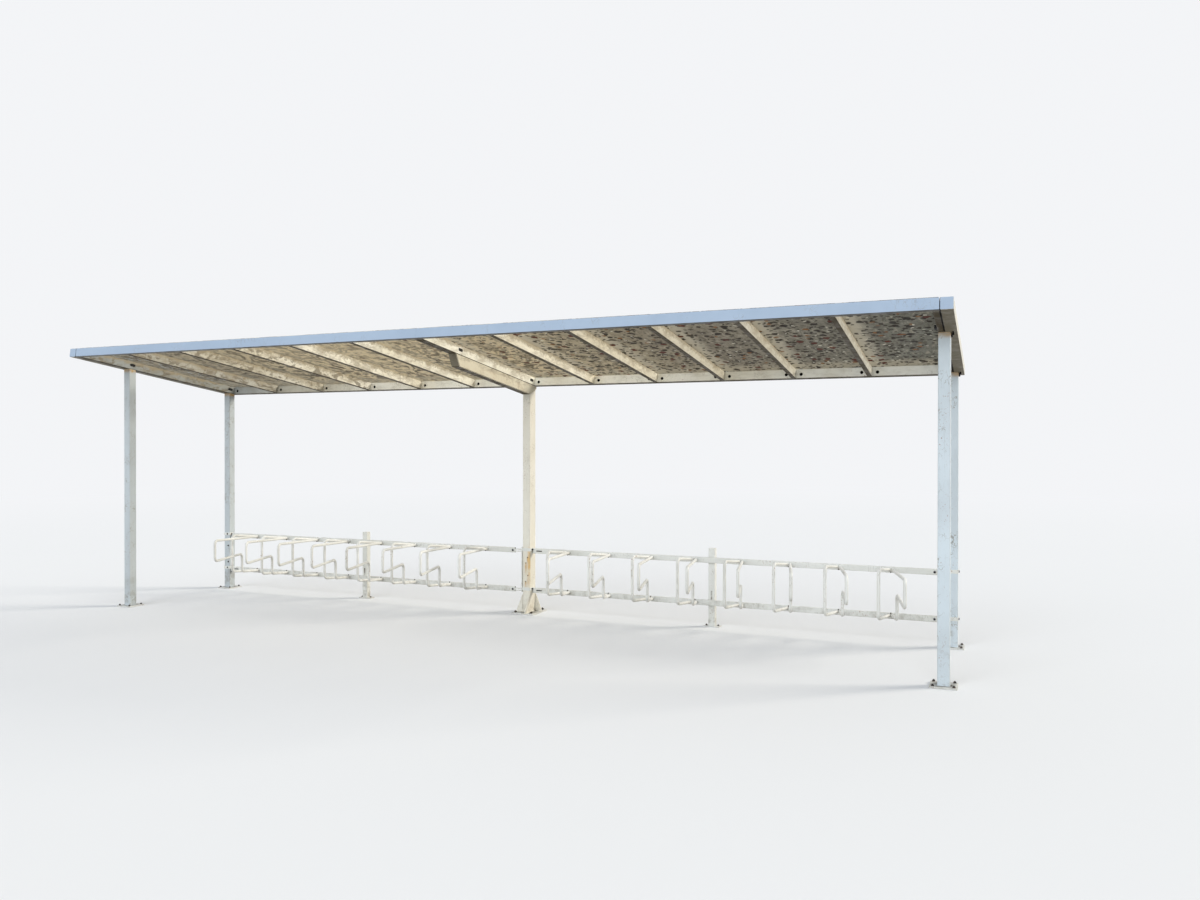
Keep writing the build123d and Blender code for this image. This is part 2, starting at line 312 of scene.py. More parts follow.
def makePiece(name, mesh, materials, replaces=(), sharp=32):
    data = closeMesh(name, mesh)
    for material in materials:
        data.materials.append(material)
    piece = addObject(name, data)
    finishShading(piece, sharp)
    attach(piece, "root")
    if replaces:
        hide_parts(*replaces)
    return piece


def cutPiece(piece, fill, sharp=32):
    # cuts away what fill() puts in a bmesh
    mesh = bmesh.new()
    fill(mesh)
    cutter = addObject("cutter", closeMesh("cutter", mesh))
    piece.modifiers.clear()
    cut = piece.modifiers.new("cut", "BOOLEAN")
    cut.operation = "DIFFERENCE"
    cut.solver = "EXACT"
    cut.object = cutter
    bpy.context.view_layer.update()
    view = bpy.context.evaluated_depsgraph_get()
    piece.data = bpy.data.meshes.new_from_object(piece.evaluated_get(view))
    piece.modifiers.clear()
    bpy.data.objects.remove(cutter)
    finishShading(piece, sharp)


# Short calls for the nodes of a material or of the world
class Nodes:
    def __init__(self, tree):
        self.tree = tree

    def plug(self, value, socket):
        if isinstance(value, bpy.types.NodeSocket):
            self.tree.links.new(value, socket)
        else:
            socket.default_value = value

    def add(self, kind, inputs=None, **settings):
        node = self.tree.nodes.new("ShaderNode" + kind)
        for key, value in settings.items():
            setattr(node, key, value)
        for key, value in (inputs or {}).items():
            self.plug(value, node.inputs[key])
        return node

    def calc(self, operation, a, b=0.0, clamp=False):
        return self.add("Math", {0: a, 1: b}, operation=operation, use_clamp=clamp).outputs[0]

    def times(self, product, *factors):
        for factor in factors:
            product = self.calc("MULTIPLY", product, factor)
        return product

    def split(self, vector):
        return self.add("SeparateXYZ", {0: vector}).outputs

    def stretch(self, place, scale):
        return self.add("Mapping", {"Vector": place, "Scale": scale}).outputs[0]

    def noise(self, place, scale, detail=3.0, roughness=0.55, distortion=0.0):
        inputs = {"Vector": place, "Scale": scale, "Detail": detail}
        inputs.update({"Roughness": roughness, "Distortion": distortion})
        return self.add("TexNoise", inputs).outputs["Fac"]

    def between(self, value, low, high, toLow=0.0, toHigh=1.0):
        # a soft step from low to high
        inputs = {"Value": value, "From Min": low, "From Max": high, "To Min": toLow, "To Max": toHigh}
        return self.add("MapRange", inputs, interpolation_type="SMOOTHSTEP").outputs["Result"]

    def mix(self, factor, a, b, blend="MIX"):
        node = self.add("Mix", data_type="RGBA", blend_type=blend)
        for value, socket in ((factor, node.inputs[0]), (a, node.inputs[6]), (b, node.inputs[7])):
            self.plug((*value, 1.0) if isinstance(value, tuple) else value, socket)
        return node.outputs[2]

    def alongRow(self, x, tones, reach=4.0):
        # colours set out along the row, each at its own distance from the middle
        share = self.calc("DIVIDE", self.calc("ADD", x, reach), reach * 2)
        ramp = self.add("ValToRGB", {0: share})
        stops = ramp.color_ramp.elements
        while len(stops) < len(tones):
            stops.new(0.5)
        for stop, (at, colour) in zip(stops, tones):
            stop.position = (at + reach) / (reach * 2)
            stop.color = (*colour, 1.0)
        return ramp.outputs[0]


# One material, whose colour is built up in layers
class Coat(Nodes):
    def __init__(self, name, roughness, metallic=0.0, shine=0.5):
        self.material = bpy.data.materials.new(name)
        self.material.use_nodes = True
        super().__init__(self.material.node_tree)
        self.shader = self.tree.nodes["Principled BSDF"].inputs
        self.shader["Roughness"].default_value = roughness
        self.shader["Metallic"].default_value = metallic
        self.shader["Specular IOR Level"].default_value = shine
        self.place = self.add("TexCoord").outputs["Object"]
        self.colour = None

    def cover(self, mask, colour, blend="MIX"):
        # lays a colour over what is there, where the mask lets it
        self.colour = self.mix(mask, self.colour, colour, blend)

    def finish(self, height=None, strength=0.0, distance=0.0):
        self.plug(self.colour, self.shader["Base Color"])
        if height:
            inputs = {"Height": height, "Strength": strength, "Distance": distance}
            self.plug(self.add("Bump", inputs).outputs[0], self.shader["Normal"])
        return self.material


# The worn cream paint of all the steel, with painted light and shade where a finish asks for it. Each
# finish changes only what differs.
paint = {
    "colour": (0.76, 0.765, 0.73),
    "shade": (0.65, 0.65, 0.60),
    "grime": (0.20, 0.17, 0.12),
    "grimeLevel": 0.35,
    "rust": (0.24, 0.085, 0.03),
    "rustLevel": 0.10,
    "cracks": 0.35,
    "groundDirt": 0.55,
    "shine": 0.4,
    "roughness": 0.42,
    "tones": (),
    "mottle": 0.0,
    "dappledShadeColour": (0.20, 0.175, 0.135),
    "creep": 0.0,
    "blotchColour": (0.47, 0.37, 0.24),
    "leafShadowAndGrimeColour": (0.36, 0.31, 0.22),
    "under": 0.0,
    "underColour": (0.050, 0.037, 0.017),
}


def makePaint(name, stains=(), **changes):
    look = {**paint, **changes}
    coat = Coat(name, look["roughness"], shine=look["shine"])
    place = coat.place
    x, y, z = coat.split(place)
    broad = coat.noise(place, 1.7, 4.0)
    cloudy = coat.noise(place, 14.0, 5.0, 0.62)
    coat.colour = coat.mix(coat.between(broad, 0.35, 0.7), look["colour"], look["shade"])
    if look["tones"]:
        # painted light and shade along the row, multiplied over the paint
        coat.cover(1.0, coat.alongRow(x, look["tones"]), "MULTIPLY")
    if look["mottle"]:
        # painted dappled shade on the rafters of the left bay
        dapples = coat.noise(coat.stretch(place, (9.0, 7.0, 15.0)), 1.0, 4.0, 0.6, 1.4)
        leftward = coat.between(x, -0.8, -2.0, 0.0, look["mottle"])
        ahead = coat.between(y, rearRow + 0.02, rearRow - 0.06)
        coat.cover(coat.times(coat.between(dapples, 0.48, 0.59), leftward, ahead), look["dappledShadeColour"])
    # rain streaks, long down the steel and fine across it
    streaks = coat.noise(coat.stretch(place, (70.0, 70.0, 3.0)), 1.0, 3.0, 0.6)
    streaks = coat.times(coat.between(streaks, 0.55, 0.78), coat.between(cloudy, 0.4, 0.65))
    coat.cover(coat.times(streaks, look["grimeLevel"]), look["grime"])
    # splashed dirt near the ground
    splash = coat.times(coat.between(z, 0.42, 0.0), coat.between(cloudy, 0.42, 0.66))
    coat.cover(coat.times(splash, look["groundDirt"]), look["grime"])
    # small chips with rust round them
    specks = coat.noise(place, 95.0, 2.0, 0.5)
    patches = coat.between(coat.noise(place, 4.3, 2.0), 0.5, 0.66)
    chips = coat.times(coat.between(specks, 0.66, 0.71), patches)
    halo = coat.times(coat.between(specks, 0.58, 0.72), patches)
    coat.cover(coat.times(chips, look["rustLevel"] * 8), look["rust"])
    coat.cover(coat.times(halo, look["rustLevel"] * 2), look["rust"])
    if look["cracks"]:
        # thin cracks where the old paint has crazed
        bends = coat.add("TexNoise", {"Vector": place, "Scale": 22.0}).outputs["Color"]
        wander = coat.stretch(coat.mix(0.06, place, bends), (1.0, 1.0, 0.5))
        cells = coat.add("TexVoronoi", {"Vector": wander, "Scale": 30.0}, feature="DISTANCE_TO_EDGE")
        crazed = coat.between(coat.noise(place, 6.5, 3.0), 0.52, 0.64)
        cracks = coat.times(coat.between(cells.outputs["Distance"], 0.035, 0.012), crazed)
        coat.cover(coat.times(cracks, look["cracks"]), look["grime"])
    if look["creep"]:
        addCreep(coat, look, cloudy, (x, y, z))
    if look["under"]:
        # painted shade, with some dirt, on faces that look down
        facing = coat.split(coat.add("NewGeometry").outputs["Normal"])[2]
        down = coat.times(coat.between(facing, -0.2, -0.6), coat.between(cloudy, 0.2, 0.6, 0.9, 1.0))
        coat.cover(coat.times(down, look["under"]), look["underColour"])
    for mark in stains:
        coat.cover(stainMask(coat, (x, y, z), mark, cloudy), mark["colour"])
    rough = look["roughness"]
    coat.plug(coat.between(cloudy, 0.3, 0.7, rough - 0.08, rough + 0.16), coat.shader["Roughness"])
    peel = coat.noise(place, 260.0, 2.0)
    return coat.finish(coat.calc("SUBTRACT", coat.times(peel, 0.35), chips), 0.35, 0.0006)


def addCreep(coat, look, cloudy, axes):
    # leaf dirt that creeps out from under the sheets, with brown blotches below it
    x, y, z = axes
    place = coat.place
    drop = coat.times(coat.calc("SUBTRACT", y, frontRow), slopeTan)
    depth = coat.calc("SUBTRACT", coat.calc("SUBTRACT", frontTop, drop), z)
    blotches = coat.noise(coat.stretch(place, (9.0, 6.0, 22.0)), 1.0, 6.0, 0.7, 0.4)
    ahead = coat.between(y, rearRow + 0.02, rearRow - 0.25, 0.15, look["creep"])
    creep = coat.times(coat.between(depth, 0.050, 0.018), coat.between(blotches, 0.40, 0.62))
    coat.cover(coat.times(coat.between(blotches, 0.48, 0.72), ahead), look["blotchColour"])
    coat.cover(coat.times(creep, ahead), look["grime"])
    # painted shadow of the leaf litter on the sheets, with some grime, on the upper part of the rafters
    ragged = coat.noise(coat.stretch(place, (9.0, 16.0, 22.0)), 1.0, 5.0, 0.75, 0.6)
    upper = coat.between(coat.calc("ADD", depth, coat.times(ragged, 0.13)), 0.022, 0.0, 0.0, 0.75)
    leafShadowAndGrime = coat.times(upper, coat.between(cloudy, 0.30, 0.50, 0.5, 1.0))
    coat.cover(coat.times(leafShadowAndGrime, coat.between(y, rearRow + 0.02, rearRow - 0.30)), look["leafShadowAndGrimeColour"])


def stain(at, reach, colour, strength=0.7):
    # each reach is a distance to both sides, a pair for up and down, or None for no limit
    return {"at": at, "reach": reach, "colour": colour, "strength": strength}


def stainMask(coat, axes, mark, ragged):
    mask = mark["strength"]
    for axis, centre, reach in zip(axes, mark["at"], mark["reach"]):
        if isinstance(reach, tuple):
            up, down = reach
            below = coat.between(axis, centre - down, centre)
            above = coat.between(axis, centre + up, centre)
            mask = coat.times(below, above, mask)
        elif reach:
            away = coat.calc("ABSOLUTE", coat.calc("SUBTRACT", axis, centre))
            mask = coat.times(coat.between(away, reach, 0.0), mask)
    return coat.calc("MULTIPLY", mask, coat.between(ragged, 0.3, 0.6, 0.35, 1.6), clamp=True)


# Bolts, washers and plastic caps
fittings = {
    "bolt": (0.045, 0.043, 0.042),
    "boltRust": (0.13, 0.075, 0.045),
    "zinc": (0.62, 0.63, 0.63),
    "zincDull": (0.42, 0.42, 0.41),
    "zincRust": (0.35, 0.22, 0.13),
    "plastic": (0.008, 0.008, 0.009),
    "plasticDust": (0.035, 0.032, 0.028),
}


def makeDarkMetal():
    coat = Coat("darkBolts", 0.55, 0.6)
    cloudy = coat.between(coat.noise(coat.place, 60.0, 4.0, 0.6), 0.42, 0.66)
    coat.colour = coat.mix(cloudy, fittings["bolt"], fittings["boltRust"])
    return coat.finish(coat.noise(coat.place, 400.0, 2.0), 0.3, 0.0004)


def makeZinc():
    coat = Coat("zincWashers", 0.45, 0.75)
    cells = coat.add("TexVoronoi", {"Vector": coat.place, "Scale": 160.0}).outputs["Distance"]
    coat.colour = coat.mix(coat.between(cells, 0.1, 0.7), fittings["zinc"], fittings["zincDull"])
    coat.cover(coat.between(coat.noise(coat.place, 30.0), 0.55, 0.7), fittings["zincRust"])
    return coat.finish()


def makeBlackPlastic():
    coat = Coat("blackCaps", 0.55, shine=0.2)
    dust = coat.between(coat.noise(coat.place, 45.0, 4.0), 0.5, 0.75)
    coat.colour = coat.mix(dust, fittings["plastic"], fittings["plasticDust"])
    return coat.finish(coat.noise(coat.place, 500.0, 2.0), 0.2, 0.0002)


# The clear sheets, dulled by a film of leaf dirt with flecks of old leaves
sheetLook = {
    # the film's tone along the row, with painted light and shade in it: palest near the middle, darker
    # toward both ends
    "film": (
        (-3.8, (0.34, 0.33, 0.30)),
        (-2.2, (0.38, 0.33, 0.24)),
        (-1.0, (0.56, 0.47, 0.33)),
        (0.4, (0.58, 0.49, 0.34)),
        (1.2, (0.44, 0.385, 0.275)),
        (2.0, (0.37, 0.33, 0.26)),
        (3.6, (0.26, 0.265, 0.23)),
    ),
    # the colour of painted sunlight on the film
    "sunPatch": (0.90, 0.77, 0.53),
    "dust": (0.58, 0.53, 0.42),
    "damp": (0.075, 0.062, 0.042),
    "paleBand": (0.66, 0.62, 0.52),
    # sky seen through the sheet, painted in specks
    "clear": (0.80, 0.86, 0.92),
    "top": (0.40, 0.385, 0.33),
    "solid": 0.94,
}
# scale of the cells, size in a cell, share left empty, colour
leafLayers = (
    (10.0, 0.28, 0.62, (0.014, 0.010, 0.008)),
    (16.0, 0.31, 0.58, (0.024, 0.016, 0.012)),
    (26.0, 0.34, 0.56, (0.020, 0.014, 0.010)),
    (10.0, 0.27, 0.88, (0.11, 0.028, 0.018)),
    (14.0, 0.27, 0.88, (0.24, 0.11, 0.04)),
    (25.0, 0.26, 0.91, (0.80, 0.78, 0.68)),
)


def makeSheet():
    look = sheetLook
    coat = Coat("dirtyClearSheet", 0.5, shine=0.02)
    x, y, z = coat.split(coat.place)
    flat = coat.add("CombineXYZ", {0: x, 1: y, 2: 0.0}).outputs[0]
    broad = coat.noise(flat, 1.6, 4.0, 0.6, 0.6)
    cloudy = coat.noise(flat, 11.0, 6.0, 0.7, 0.8)
    along = coat.noise(coat.stretch(flat, (60.0, 5.0, 1.0)), 1.0, 4.0, 0.65)
    mottle = coat.noise(coat.stretch(flat, (24.0, 11.0, 1.0)), 1.0, 5.0, 0.7, 0.8)
    coat.colour = coat.alongRow(x, look["film"])
    coat.cover(coat.between(broad, 0.35, 0.7, 0.0, 0.4), look["damp"])
    coat.cover(coat.between(mottle, 0.50, 0.38, 0.0, 0.55), look["damp"])
    coat.cover(coat.between(mottle, 0.53, 0.68, 0.0, 0.6), look["dust"])
    coat.cover(coat.between(along, 0.5, 0.75, 0.0, 0.45), look["damp"])
    # painted sunlight: pale patches of sun on the film, with painted shade between them, mostly over the
    # left bay
    facing = coat.split(coat.add("NewGeometry").outputs["Normal"])[2]
    above = coat.between(facing, 0.2, 0.6)
    below = coat.calc("SUBTRACT", 1.0, above)
    leftward = coat.times(coat.between(x, 2.2, -0.6), coat.between(below, 0.0, 1.0, 0.15, 1.0))
    sunPattern = coat.noise(coat.stretch(flat, (4.5, 3.6, 1.0)), 1.0, 4.0, 0.5, 3.2)
    # painted shade between the patches of sun
    coat.cover(coat.times(coat.between(sunPattern, 0.47, 0.39, 0.0, 0.72), leftward), look["damp"])
    sunlit = coat.times(coat.between(sunPattern, 0.46, 0.55, 0.05, 0.95), leftward)
    coat.cover(coat.times(sunlit, coat.between(x, -3.7, -1.3, 0.3, 1.0)), look["sunPatch"])
    # more painted sunlight toward the front of the left bay
    sunAhead = coat.times(coat.between(y, rearRow - 0.5, frontRow - 0.4, 0.0, 0.4), leftward)
    coat.cover(coat.times(sunAhead, coat.between(x, -3.4, -1.3, 0.2, 1.0)), look["sunPatch"])
    coat.cover(coat.times(above, 0.6), look["top"])
    # a paler band beside each rafter
    firstSide = layout["gap"] / 2 + member["rafter"]
    inBay = coat.calc("ADD", x, coat.times(coat.calc("LESS_THAN", x, 0.0), bay))
    beside = coat.calc("DIVIDE", coat.calc("SUBTRACT", inBay, firstSide), rafterPitch)
    ragged = coat.times(coat.calc("SUBTRACT", cloudy, 0.5), 0.16)
    beside = coat.calc("ADD", coat.calc("FRACT", beside), ragged)
    paleBand = coat.times(coat.between(beside, 0.25, 0.06, 0.0, 0.8), below)
    coat.cover(coat.times(paleBand, coat.between(x, -1.2, 0.6, 0.45, 1.0)), look["paleBand"])
    # painted specks of bright sky seen through the clearest strip, at the left end
    specks = coat.noise(coat.stretch(flat, (26.0, 12.0, 1.0)), 1.0, 4.0, 0.6, 0.5)
    endStrip = coat.times(coat.between(x, -3.25, -3.5), below)
    coat.cover(coat.times(coat.between(specks, 0.57, 0.64, 0.0, 0.85), endStrip), look["clear"])
    # debris washed against the rear beam
    washed = coat.between(y, rearRow - 0.26, rearRow - 0.10)
    coat.cover(coat.times(washed, coat.between(cloudy, 0.3, 0.55, 0.2, 0.75)), look["dust"])
    flecks = addFlecks(coat, flat, x, above)
    solid = coat.between(broad, 0.3, 0.7, look["solid"] + 0.03, look["solid"] - 0.06)
    coat.plug(coat.calc("MAXIMUM", solid, flecks), coat.shader["Alpha"])
    coat.plug(coat.between(cloudy, 0.35, 0.7, 0.42, 0.65), coat.shader["Roughness"])
    # the hollow walls inside show as fine lines
    waves = {"Vector": flat, "Scale": 30.0, "Distortion": 0.0}
    flutes = coat.add("TexWave", waves, bands_direction="X").outputs["Fac"]
    return coat.finish(coat.calc("ADD", coat.times(flutes, 0.4), flecks), 0.25, 0.0008)


def addFlecks(coat, flat, x, above):
    # bits of old leaves in layers, fewer on top and toward the left
    warp = coat.add("TexNoise", {"Vector": flat, "Scale": 26.0, "Detail": 3.0}).outputs["Color"]
    bent = coat.add("Mix", {0: 0.05, 4: flat, 5: warp}, data_type="VECTOR").outputs[1]
    spread = coat.stretch(bent, (1.0, 0.8, 1.0))
    crowd = coat.times(coat.between(x, -1.2, 1.0, 0.3, 1.0), coat.between(above, 0.0, 1.0, 1.0, 0.35))
    flecks = 0.0
    for number, (scale, size, empty, tint) in enumerate(leafLayers):
        cells = coat.add("TexVoronoi", {"Vector": spread, "Scale": scale}, voronoi_dimensions="2D")
        near = coat.between(cells.outputs["Distance"], size, size * 0.7)
        pick = coat.add("SeparateColor", {0: cells.outputs["Color"]}).outputs[number % 3]
        mask = coat.times(near, coat.between(pick, empty, empty + 0.04), crowd)
        coat.cover(coat.times(mask, 0.9), tint)
        flecks = coat.calc("MAXIMUM", flecks, mask)
    return flecks


def makeLeaf(name, pale, dark):
    coat = Coat(name, 0.6)
    cells = coat.add("TexVoronoi", {"Vector": coat.place, "Scale": 19.0})
    pick = coat.add("SeparateColor", {0: cells.outputs["Color"]}).outputs[1]
    veins = coat.noise(coat.place, 120.0, 4.0, 0.7)
    coat.colour = coat.mix(pick, pale, dark)
    coat.cover(coat.between(veins, 0.5, 0.75), (0.06, 0.035, 0.015))
    return coat.finish(veins, 0.4, 0.0008)


# Rust, dirt and painted shade in set places
stained = {
    "tan": (0.54, 0.34, 0.15),
    "run": (0.68, 0.46, 0.20),
    "splash": (0.36, 0.24, 0.13),
    "damp": (0.12, 0.09, 0.06),
    "clean": (0.93, 0.91, 0.84),
    "gapShadow": (0.012, 0.010, 0.008),
    "cap": (0.52, 0.34, 0.15),
    "foot": (0.06, 0.052, 0.042),
    "middleFoot": (0.09, 0.075, 0.055),
}
# screws in the middle post: place across, height, width and length of the rust below
postScrews = (
    (0.016, 0.541, 0.016, 0.12),
    (-0.004, 0.487, 0.018, 0.16),
    (0.018, 0.367, 0.014, 0.14),
    (-0.006, 0.306, 0.016, 0.12),
)
# rust below those screws, one long run beside them, and splashes by the foot
postFace = rearRow - 0.060
postStains = []
for x, z, wide, long in postScrews:
    postStains.append(stain((x, postFace, z), (wide, 0.02, (0.012, long)), stained["tan"]))
postStains += [
    stain((0.030, postFace, 0.52), (0.026, 0.02, (0.17, 0.34)), stained["run"], 0.85),
    stain((0.06, postFace, 0.05), (0.08, 0.12, (0.12, 0.06)), stained["splash"], 0.2),
]
# damp below the small hole in each support
supportStains = []
for side in bayStarts:
    at = (boxMiddle(f"rail_support_{side}_bay").x, railHigh.y, 0.318)
    supportStains.append(stain(at, (0.012, 0.03, (0.008, 0.17)), stained["damp"], 0.8))
# cleaner steel round the access slots beside the middle post
slotStains = []
for y in (-0.008, roofRear - 0.125):
    at = tuple(roofPlace @ Vector((0.042, y, 0.042)))
    slotStains.append(stain(at, (0.02, 0.062, 0.036), stained["clean"], 1.2))
# painted shade in the gaps between the end beams and their bays
seamShade = []
for x in (-bay - 0.001, bay + 0.001):
    seamShade.append(stain((x, 0, 0), (0.008, None, None), stained["gapShadow"], 2.2))
# rust below the caps of the posts, and darkening over the tops of the foot plates, paler toward their rims
topStains = []
for row in (frontRow, rearRow):
    level = roofLevel(row, 0.010)
    topStains.append(stain((0, row, level), (None, 0.09, (0.02, 0.034)), stained["cap"], 0.9))
footDarkening = []
for x in (-bay, bay):
    for row in (frontRow, rearRow):
        footDarkening.append(stain((x, row, 0.0115), (0.098, 0.098, (0.02, 0.004)), stained["foot"], 2.2))
footDarkening.append(stain((0, rearRow, 0.0125), (0.13, 0.16, (0.02, 0.004)), stained["middleFoot"], 1.6))

# Painted light and shade along the row: the roof frame darker at both ends and palest near the middle, the
# posts darker toward the left
roofLightAndShade = (
    (-3.9, (0.38, 0.41, 0.44)),
    (-3.5, (0.44, 0.45, 0.45)),
    (-3.0, (0.64, 0.63, 0.60)),
    (-2.2, (0.80, 0.78, 0.73)),
    (-1.5, (0.97, 0.95, 0.90)),
    (-0.1, (1.0, 1.0, 0.97)),
    (0.7, (0.98, 0.95, 0.88)),
    (1.3, (0.88, 0.85, 0.78)),
    (2.0, (0.76, 0.74, 0.69)),
    (3.9, (0.70, 0.705, 0.70)),
)
postShadeTowardLeft = ((-3.9, (0.81, 0.79, 0.77)), (3.9, (1.0, 1.0, 1.0)))

paintedSteel = makePaint("creamPaint")
roofSteel = makePaint(
    "roofPaint",
    slotStains + seamShade,
    groundDirt=0.0,
    colour=(0.94, 0.93, 0.87),
    shade=(0.85, 0.82, 0.72),
    tones=roofLightAndShade,
    mottle=0.8,
    grimeLevel=0.3,
    creep=0.32,
    under=1.0,
    shine=0.06,
)
beamSteel = makePaint(
    "centreBeamPaint",
    groundDirt=0.0,
    colour=(0.78, 0.735, 0.61),
    shade=(0.66, 0.61, 0.48),
    grimeLevel=0.5,
    creep=0.5,
    under=1.0,
    shine=0.06,
)
# the fascia's blue is painted sky light on the cream paint; the end beams' front faces take it too
skylitFasciaSteel = makePaint(
    "fasciaPaintWithSkyLight",
    groundDirt=0.0,
    colour=(0.39, 0.485, 0.61),
    shade=(0.36, 0.45, 0.57),
    grimeLevel=0.06,
    rustLevel=0.0,
    under=0.95,
    shine=0.25,
)
# the corner posts' blue tint is painted sky light on the cream paint
skylitPostSteel = makePaint(
    "postPaintWithSkyLight",
    topStains,
    colour=(0.635, 0.712, 0.757),
    shade=(0.555, 0.617, 0.652),
    tones=postShadeTowardLeft,
    cracks=0.8,
)
endSteel = makePaint(
    "endBeamPaint",
    seamShade,
    groundDirt=0.0,
    colour=(0.74, 0.72, 0.64),
    grimeLevel=0.5,
    under=1.0,
    underColour=(0.17, 0.15, 0.11),
    shine=0.05,
)
middleSteel = makePaint(
    "middlePostPaint",
    postStains,
    groundDirt=0.25,
    colour=(0.79, 0.765, 0.68),
    shade=(0.72, 0.685, 0.58),
)
supportSteel = makePaint("supportPaint", supportStains, grimeLevel=0.6)
standSteel = makePaint(
    "standPaint",
    colour=(0.79, 0.79, 0.755),
    shade=(0.66, 0.655, 0.61),
    rustLevel=0.16,
    grimeLevel=0.45,
)
capSteel = makePaint(
    "rustyCapPlate",
    colour=(0.62, 0.50, 0.33),
    shade=(0.44, 0.29, 0.15),
    rustLevel=0.3,
    grimeLevel=0.7,
)
footSteel = makePaint(
    "footPaint",
    footDarkening,
    groundDirt=0.2,
    colour=(0.72, 0.73, 0.71),
    shade=(0.60, 0.59, 0.54),
    rustLevel=0.15,
)
# the insides of the tubes, painted near black for the shade in them
insideShadeSteel = makePaint(
    "tubeInsideShade",
    colour=(0.012, 0.010, 0.009),
    shade=(0.008, 0.007, 0.006),
    grime=(0.02, 0.016, 0.012),
    rustLevel=0.0,
    shine=0.1,
)
darkMetal = makeDarkMetal()
zinc = makeZinc()
blackPlastic = makeBlackPlastic()
sheetPlastic = makeSheet()
leafYellow = makeLeaf("yellowLeaves", (0.55, 0.36, 0.06), (0.34, 0.17, 0.03))
leafBrown = makeLeaf("brownLeaves", (0.26, 0.12, 0.05), (0.11, 0.055, 0.025))
print("materials made")


# Anchors and bolts
fastener = {
    "nut": 0.0108,
    "nutHeight": 0.008,
    "washer": 0.0125,
    "washerHeight": 0.0022,
    "stud": 0.0058,
    "studOut": 0.005,
}


def addAnchor(mesh, x, y, z, grow=1.0):
    # a washer, a nut turned its own way, and the threaded end of a stud
    place = Matrix.Translation((x, y, z)) @ Matrix.Rotation(x * 7 + y * 3, 4, "Z")
    nut, nutHeight, washer, low, stud, out = [value * grow for value in fastener.values()]
    top = low + nutHeight
    profile = [(0, 0), (washer, 0), (washer, low * 0.8), (washer * 0.95, low), (0, low)]
    addTurned(mesh, profile, 24, place, 1)
    profile = [(0, low), (nut * 0.95, low), (nut, low + nutHeight * 0.12), (nut, low + nutHeight * 0.85)]
    addTurned(mesh, profile + [(nut * 0.9, top), (0, top)], 6, place)
    threads = 6
    profile = [(0, top), (stud, top)]
    for i in range(threads):
        level = top + out * (i + 0.5) / threads
        profile += [(stud * 0.88, level), (stud, level + out * 0.4 / threads)]
    profile += [(stud * 0.8, top + out * 1.05), (0, top + out * 1.05)]
    addTurned(mesh, profile, 12, place)


def addBolt(mesh, point, direction, head=0.0095, height=0.0065, washer=0.0125):
    # a hexagon head on a washer, slots 0 and 1
    place = aim(point, direction)
    low = 0.002
    top = low + height
    profile = [(0, 0), (washer, 0), (washer, 0.0014), (washer * 0.94, low), (0, low)]
    addTurned(mesh, profile, 22, place, 1)
    profile = [(0, low), (head * 0.96, low), (head, 0.0026), (head, top - 0.0014)]
    addTurned(mesh, profile + [(head * 0.86, top), (0, top)], 6, place)


def addCap(mesh, point, direction, radius, height):
    profile = [(0, -0.001), (radius, -0.001), (radius, height * 0.35), (radius * 0.9, height * 0.8)]
    addTurned(mesh, profile + [(radius * 0.6, height), (0, height)], 24, aim(point, direction))


# Posts
post = {
    "wall": 0.004,
    "corner": 0.008,
    "foot": 0.180,
    "footThick": 0.010,
    "capThick": 0.010,
    "capInset": 0.0015,  # the cap plate is ground a little smaller than the tube
    "anchor": 0.068,
}


def makeCornerPost(name, node):
    x, y = boxMiddle(node).xy
    wall, corner, thick = post["wall"], post["corner"], post["footThick"]
    place = Matrix.Translation((x, y, 0))
    outer = roundedBox(half * 2, half * 2, corner)
    inner = roundedBox((half - wall) * 2, (half - wall) * 2, corner - wall)
    mesh = bmesh.new()
    topOf = lambda px, py: roofLevel(y + py, post["capThick"])
    addTube(mesh, outer, inner, thick, topOf, place)
    capSize = (half - post["capInset"]) * 2
    cap = roundedBox(capSize, capSize, corner)
    addTube(mesh, cap, None, topOf, lambda px, py: roofLevel(y + py), place, 1)
    foot = roundedBox(post["foot"], post["foot"], 0.006, 2)
    addPlate(mesh, [foot], thick, 0.0012, Matrix.Translation((x, y, thick / 2)), 2)
    ring = roundedBox(half * 2, half * 2, corner, 2)
    addWeld(mesh, [(x + px, y + py, thick + 0.0008) for px, py in ring], True, 0.0035)
    addWeld(mesh, [(x + px, y + py, topOf(px, py)) for px, py in ring], True, 0.0018)
    makePiece(name, mesh, [skylitPostSteel, capSteel, footSteel], [node])
    bolts = bmesh.new()
    for sideX in (-1, 1):
        for sideY in (-1, 1):
            addAnchor(bolts, x + sideX * post["anchor"], y + sideY * post["anchor"], thick)
    makePiece(name + "_anchors", bolts, [darkMetal, zinc])


middle = {
    "depth": 0.120,
    "wall": 0.005,
    "corner": 0.009,
    "footThick": 0.012,
    "anchorX": 0.085,
    "anchorY": 0.120,
    "anchorGrow": 1.25,
}
beam = {
    "width": 0.080,
    "depth": 0.100,
    "front": 0.070,
    "rake": 0.057,
    "tail": 0.020,
    "tip": 0.025,
    "edge": 0.004,
}
gusset = {
    "thick": 0.008,
    "height": 0.168,
    "nose": 0.004,
    "sideFoot": 0.072,
    "endFoot": 0.100,
}
beamFront = frontRow - beam["front"]
taperStart = rearRow - middle["depth"] / 2
beamRear = rearRow + middle["depth"] / 2 + beam["tail"]
taperLevel = roofLevel(taperStart, beam["depth"])
tipLevel = roofLevel(beamRear, beam["tip"])


def middleTop(px, py):
    share = (rearRow + py - taperStart) / (beamRear - taperStart)
    return taperLevel + (tipLevel - taperLevel) * share


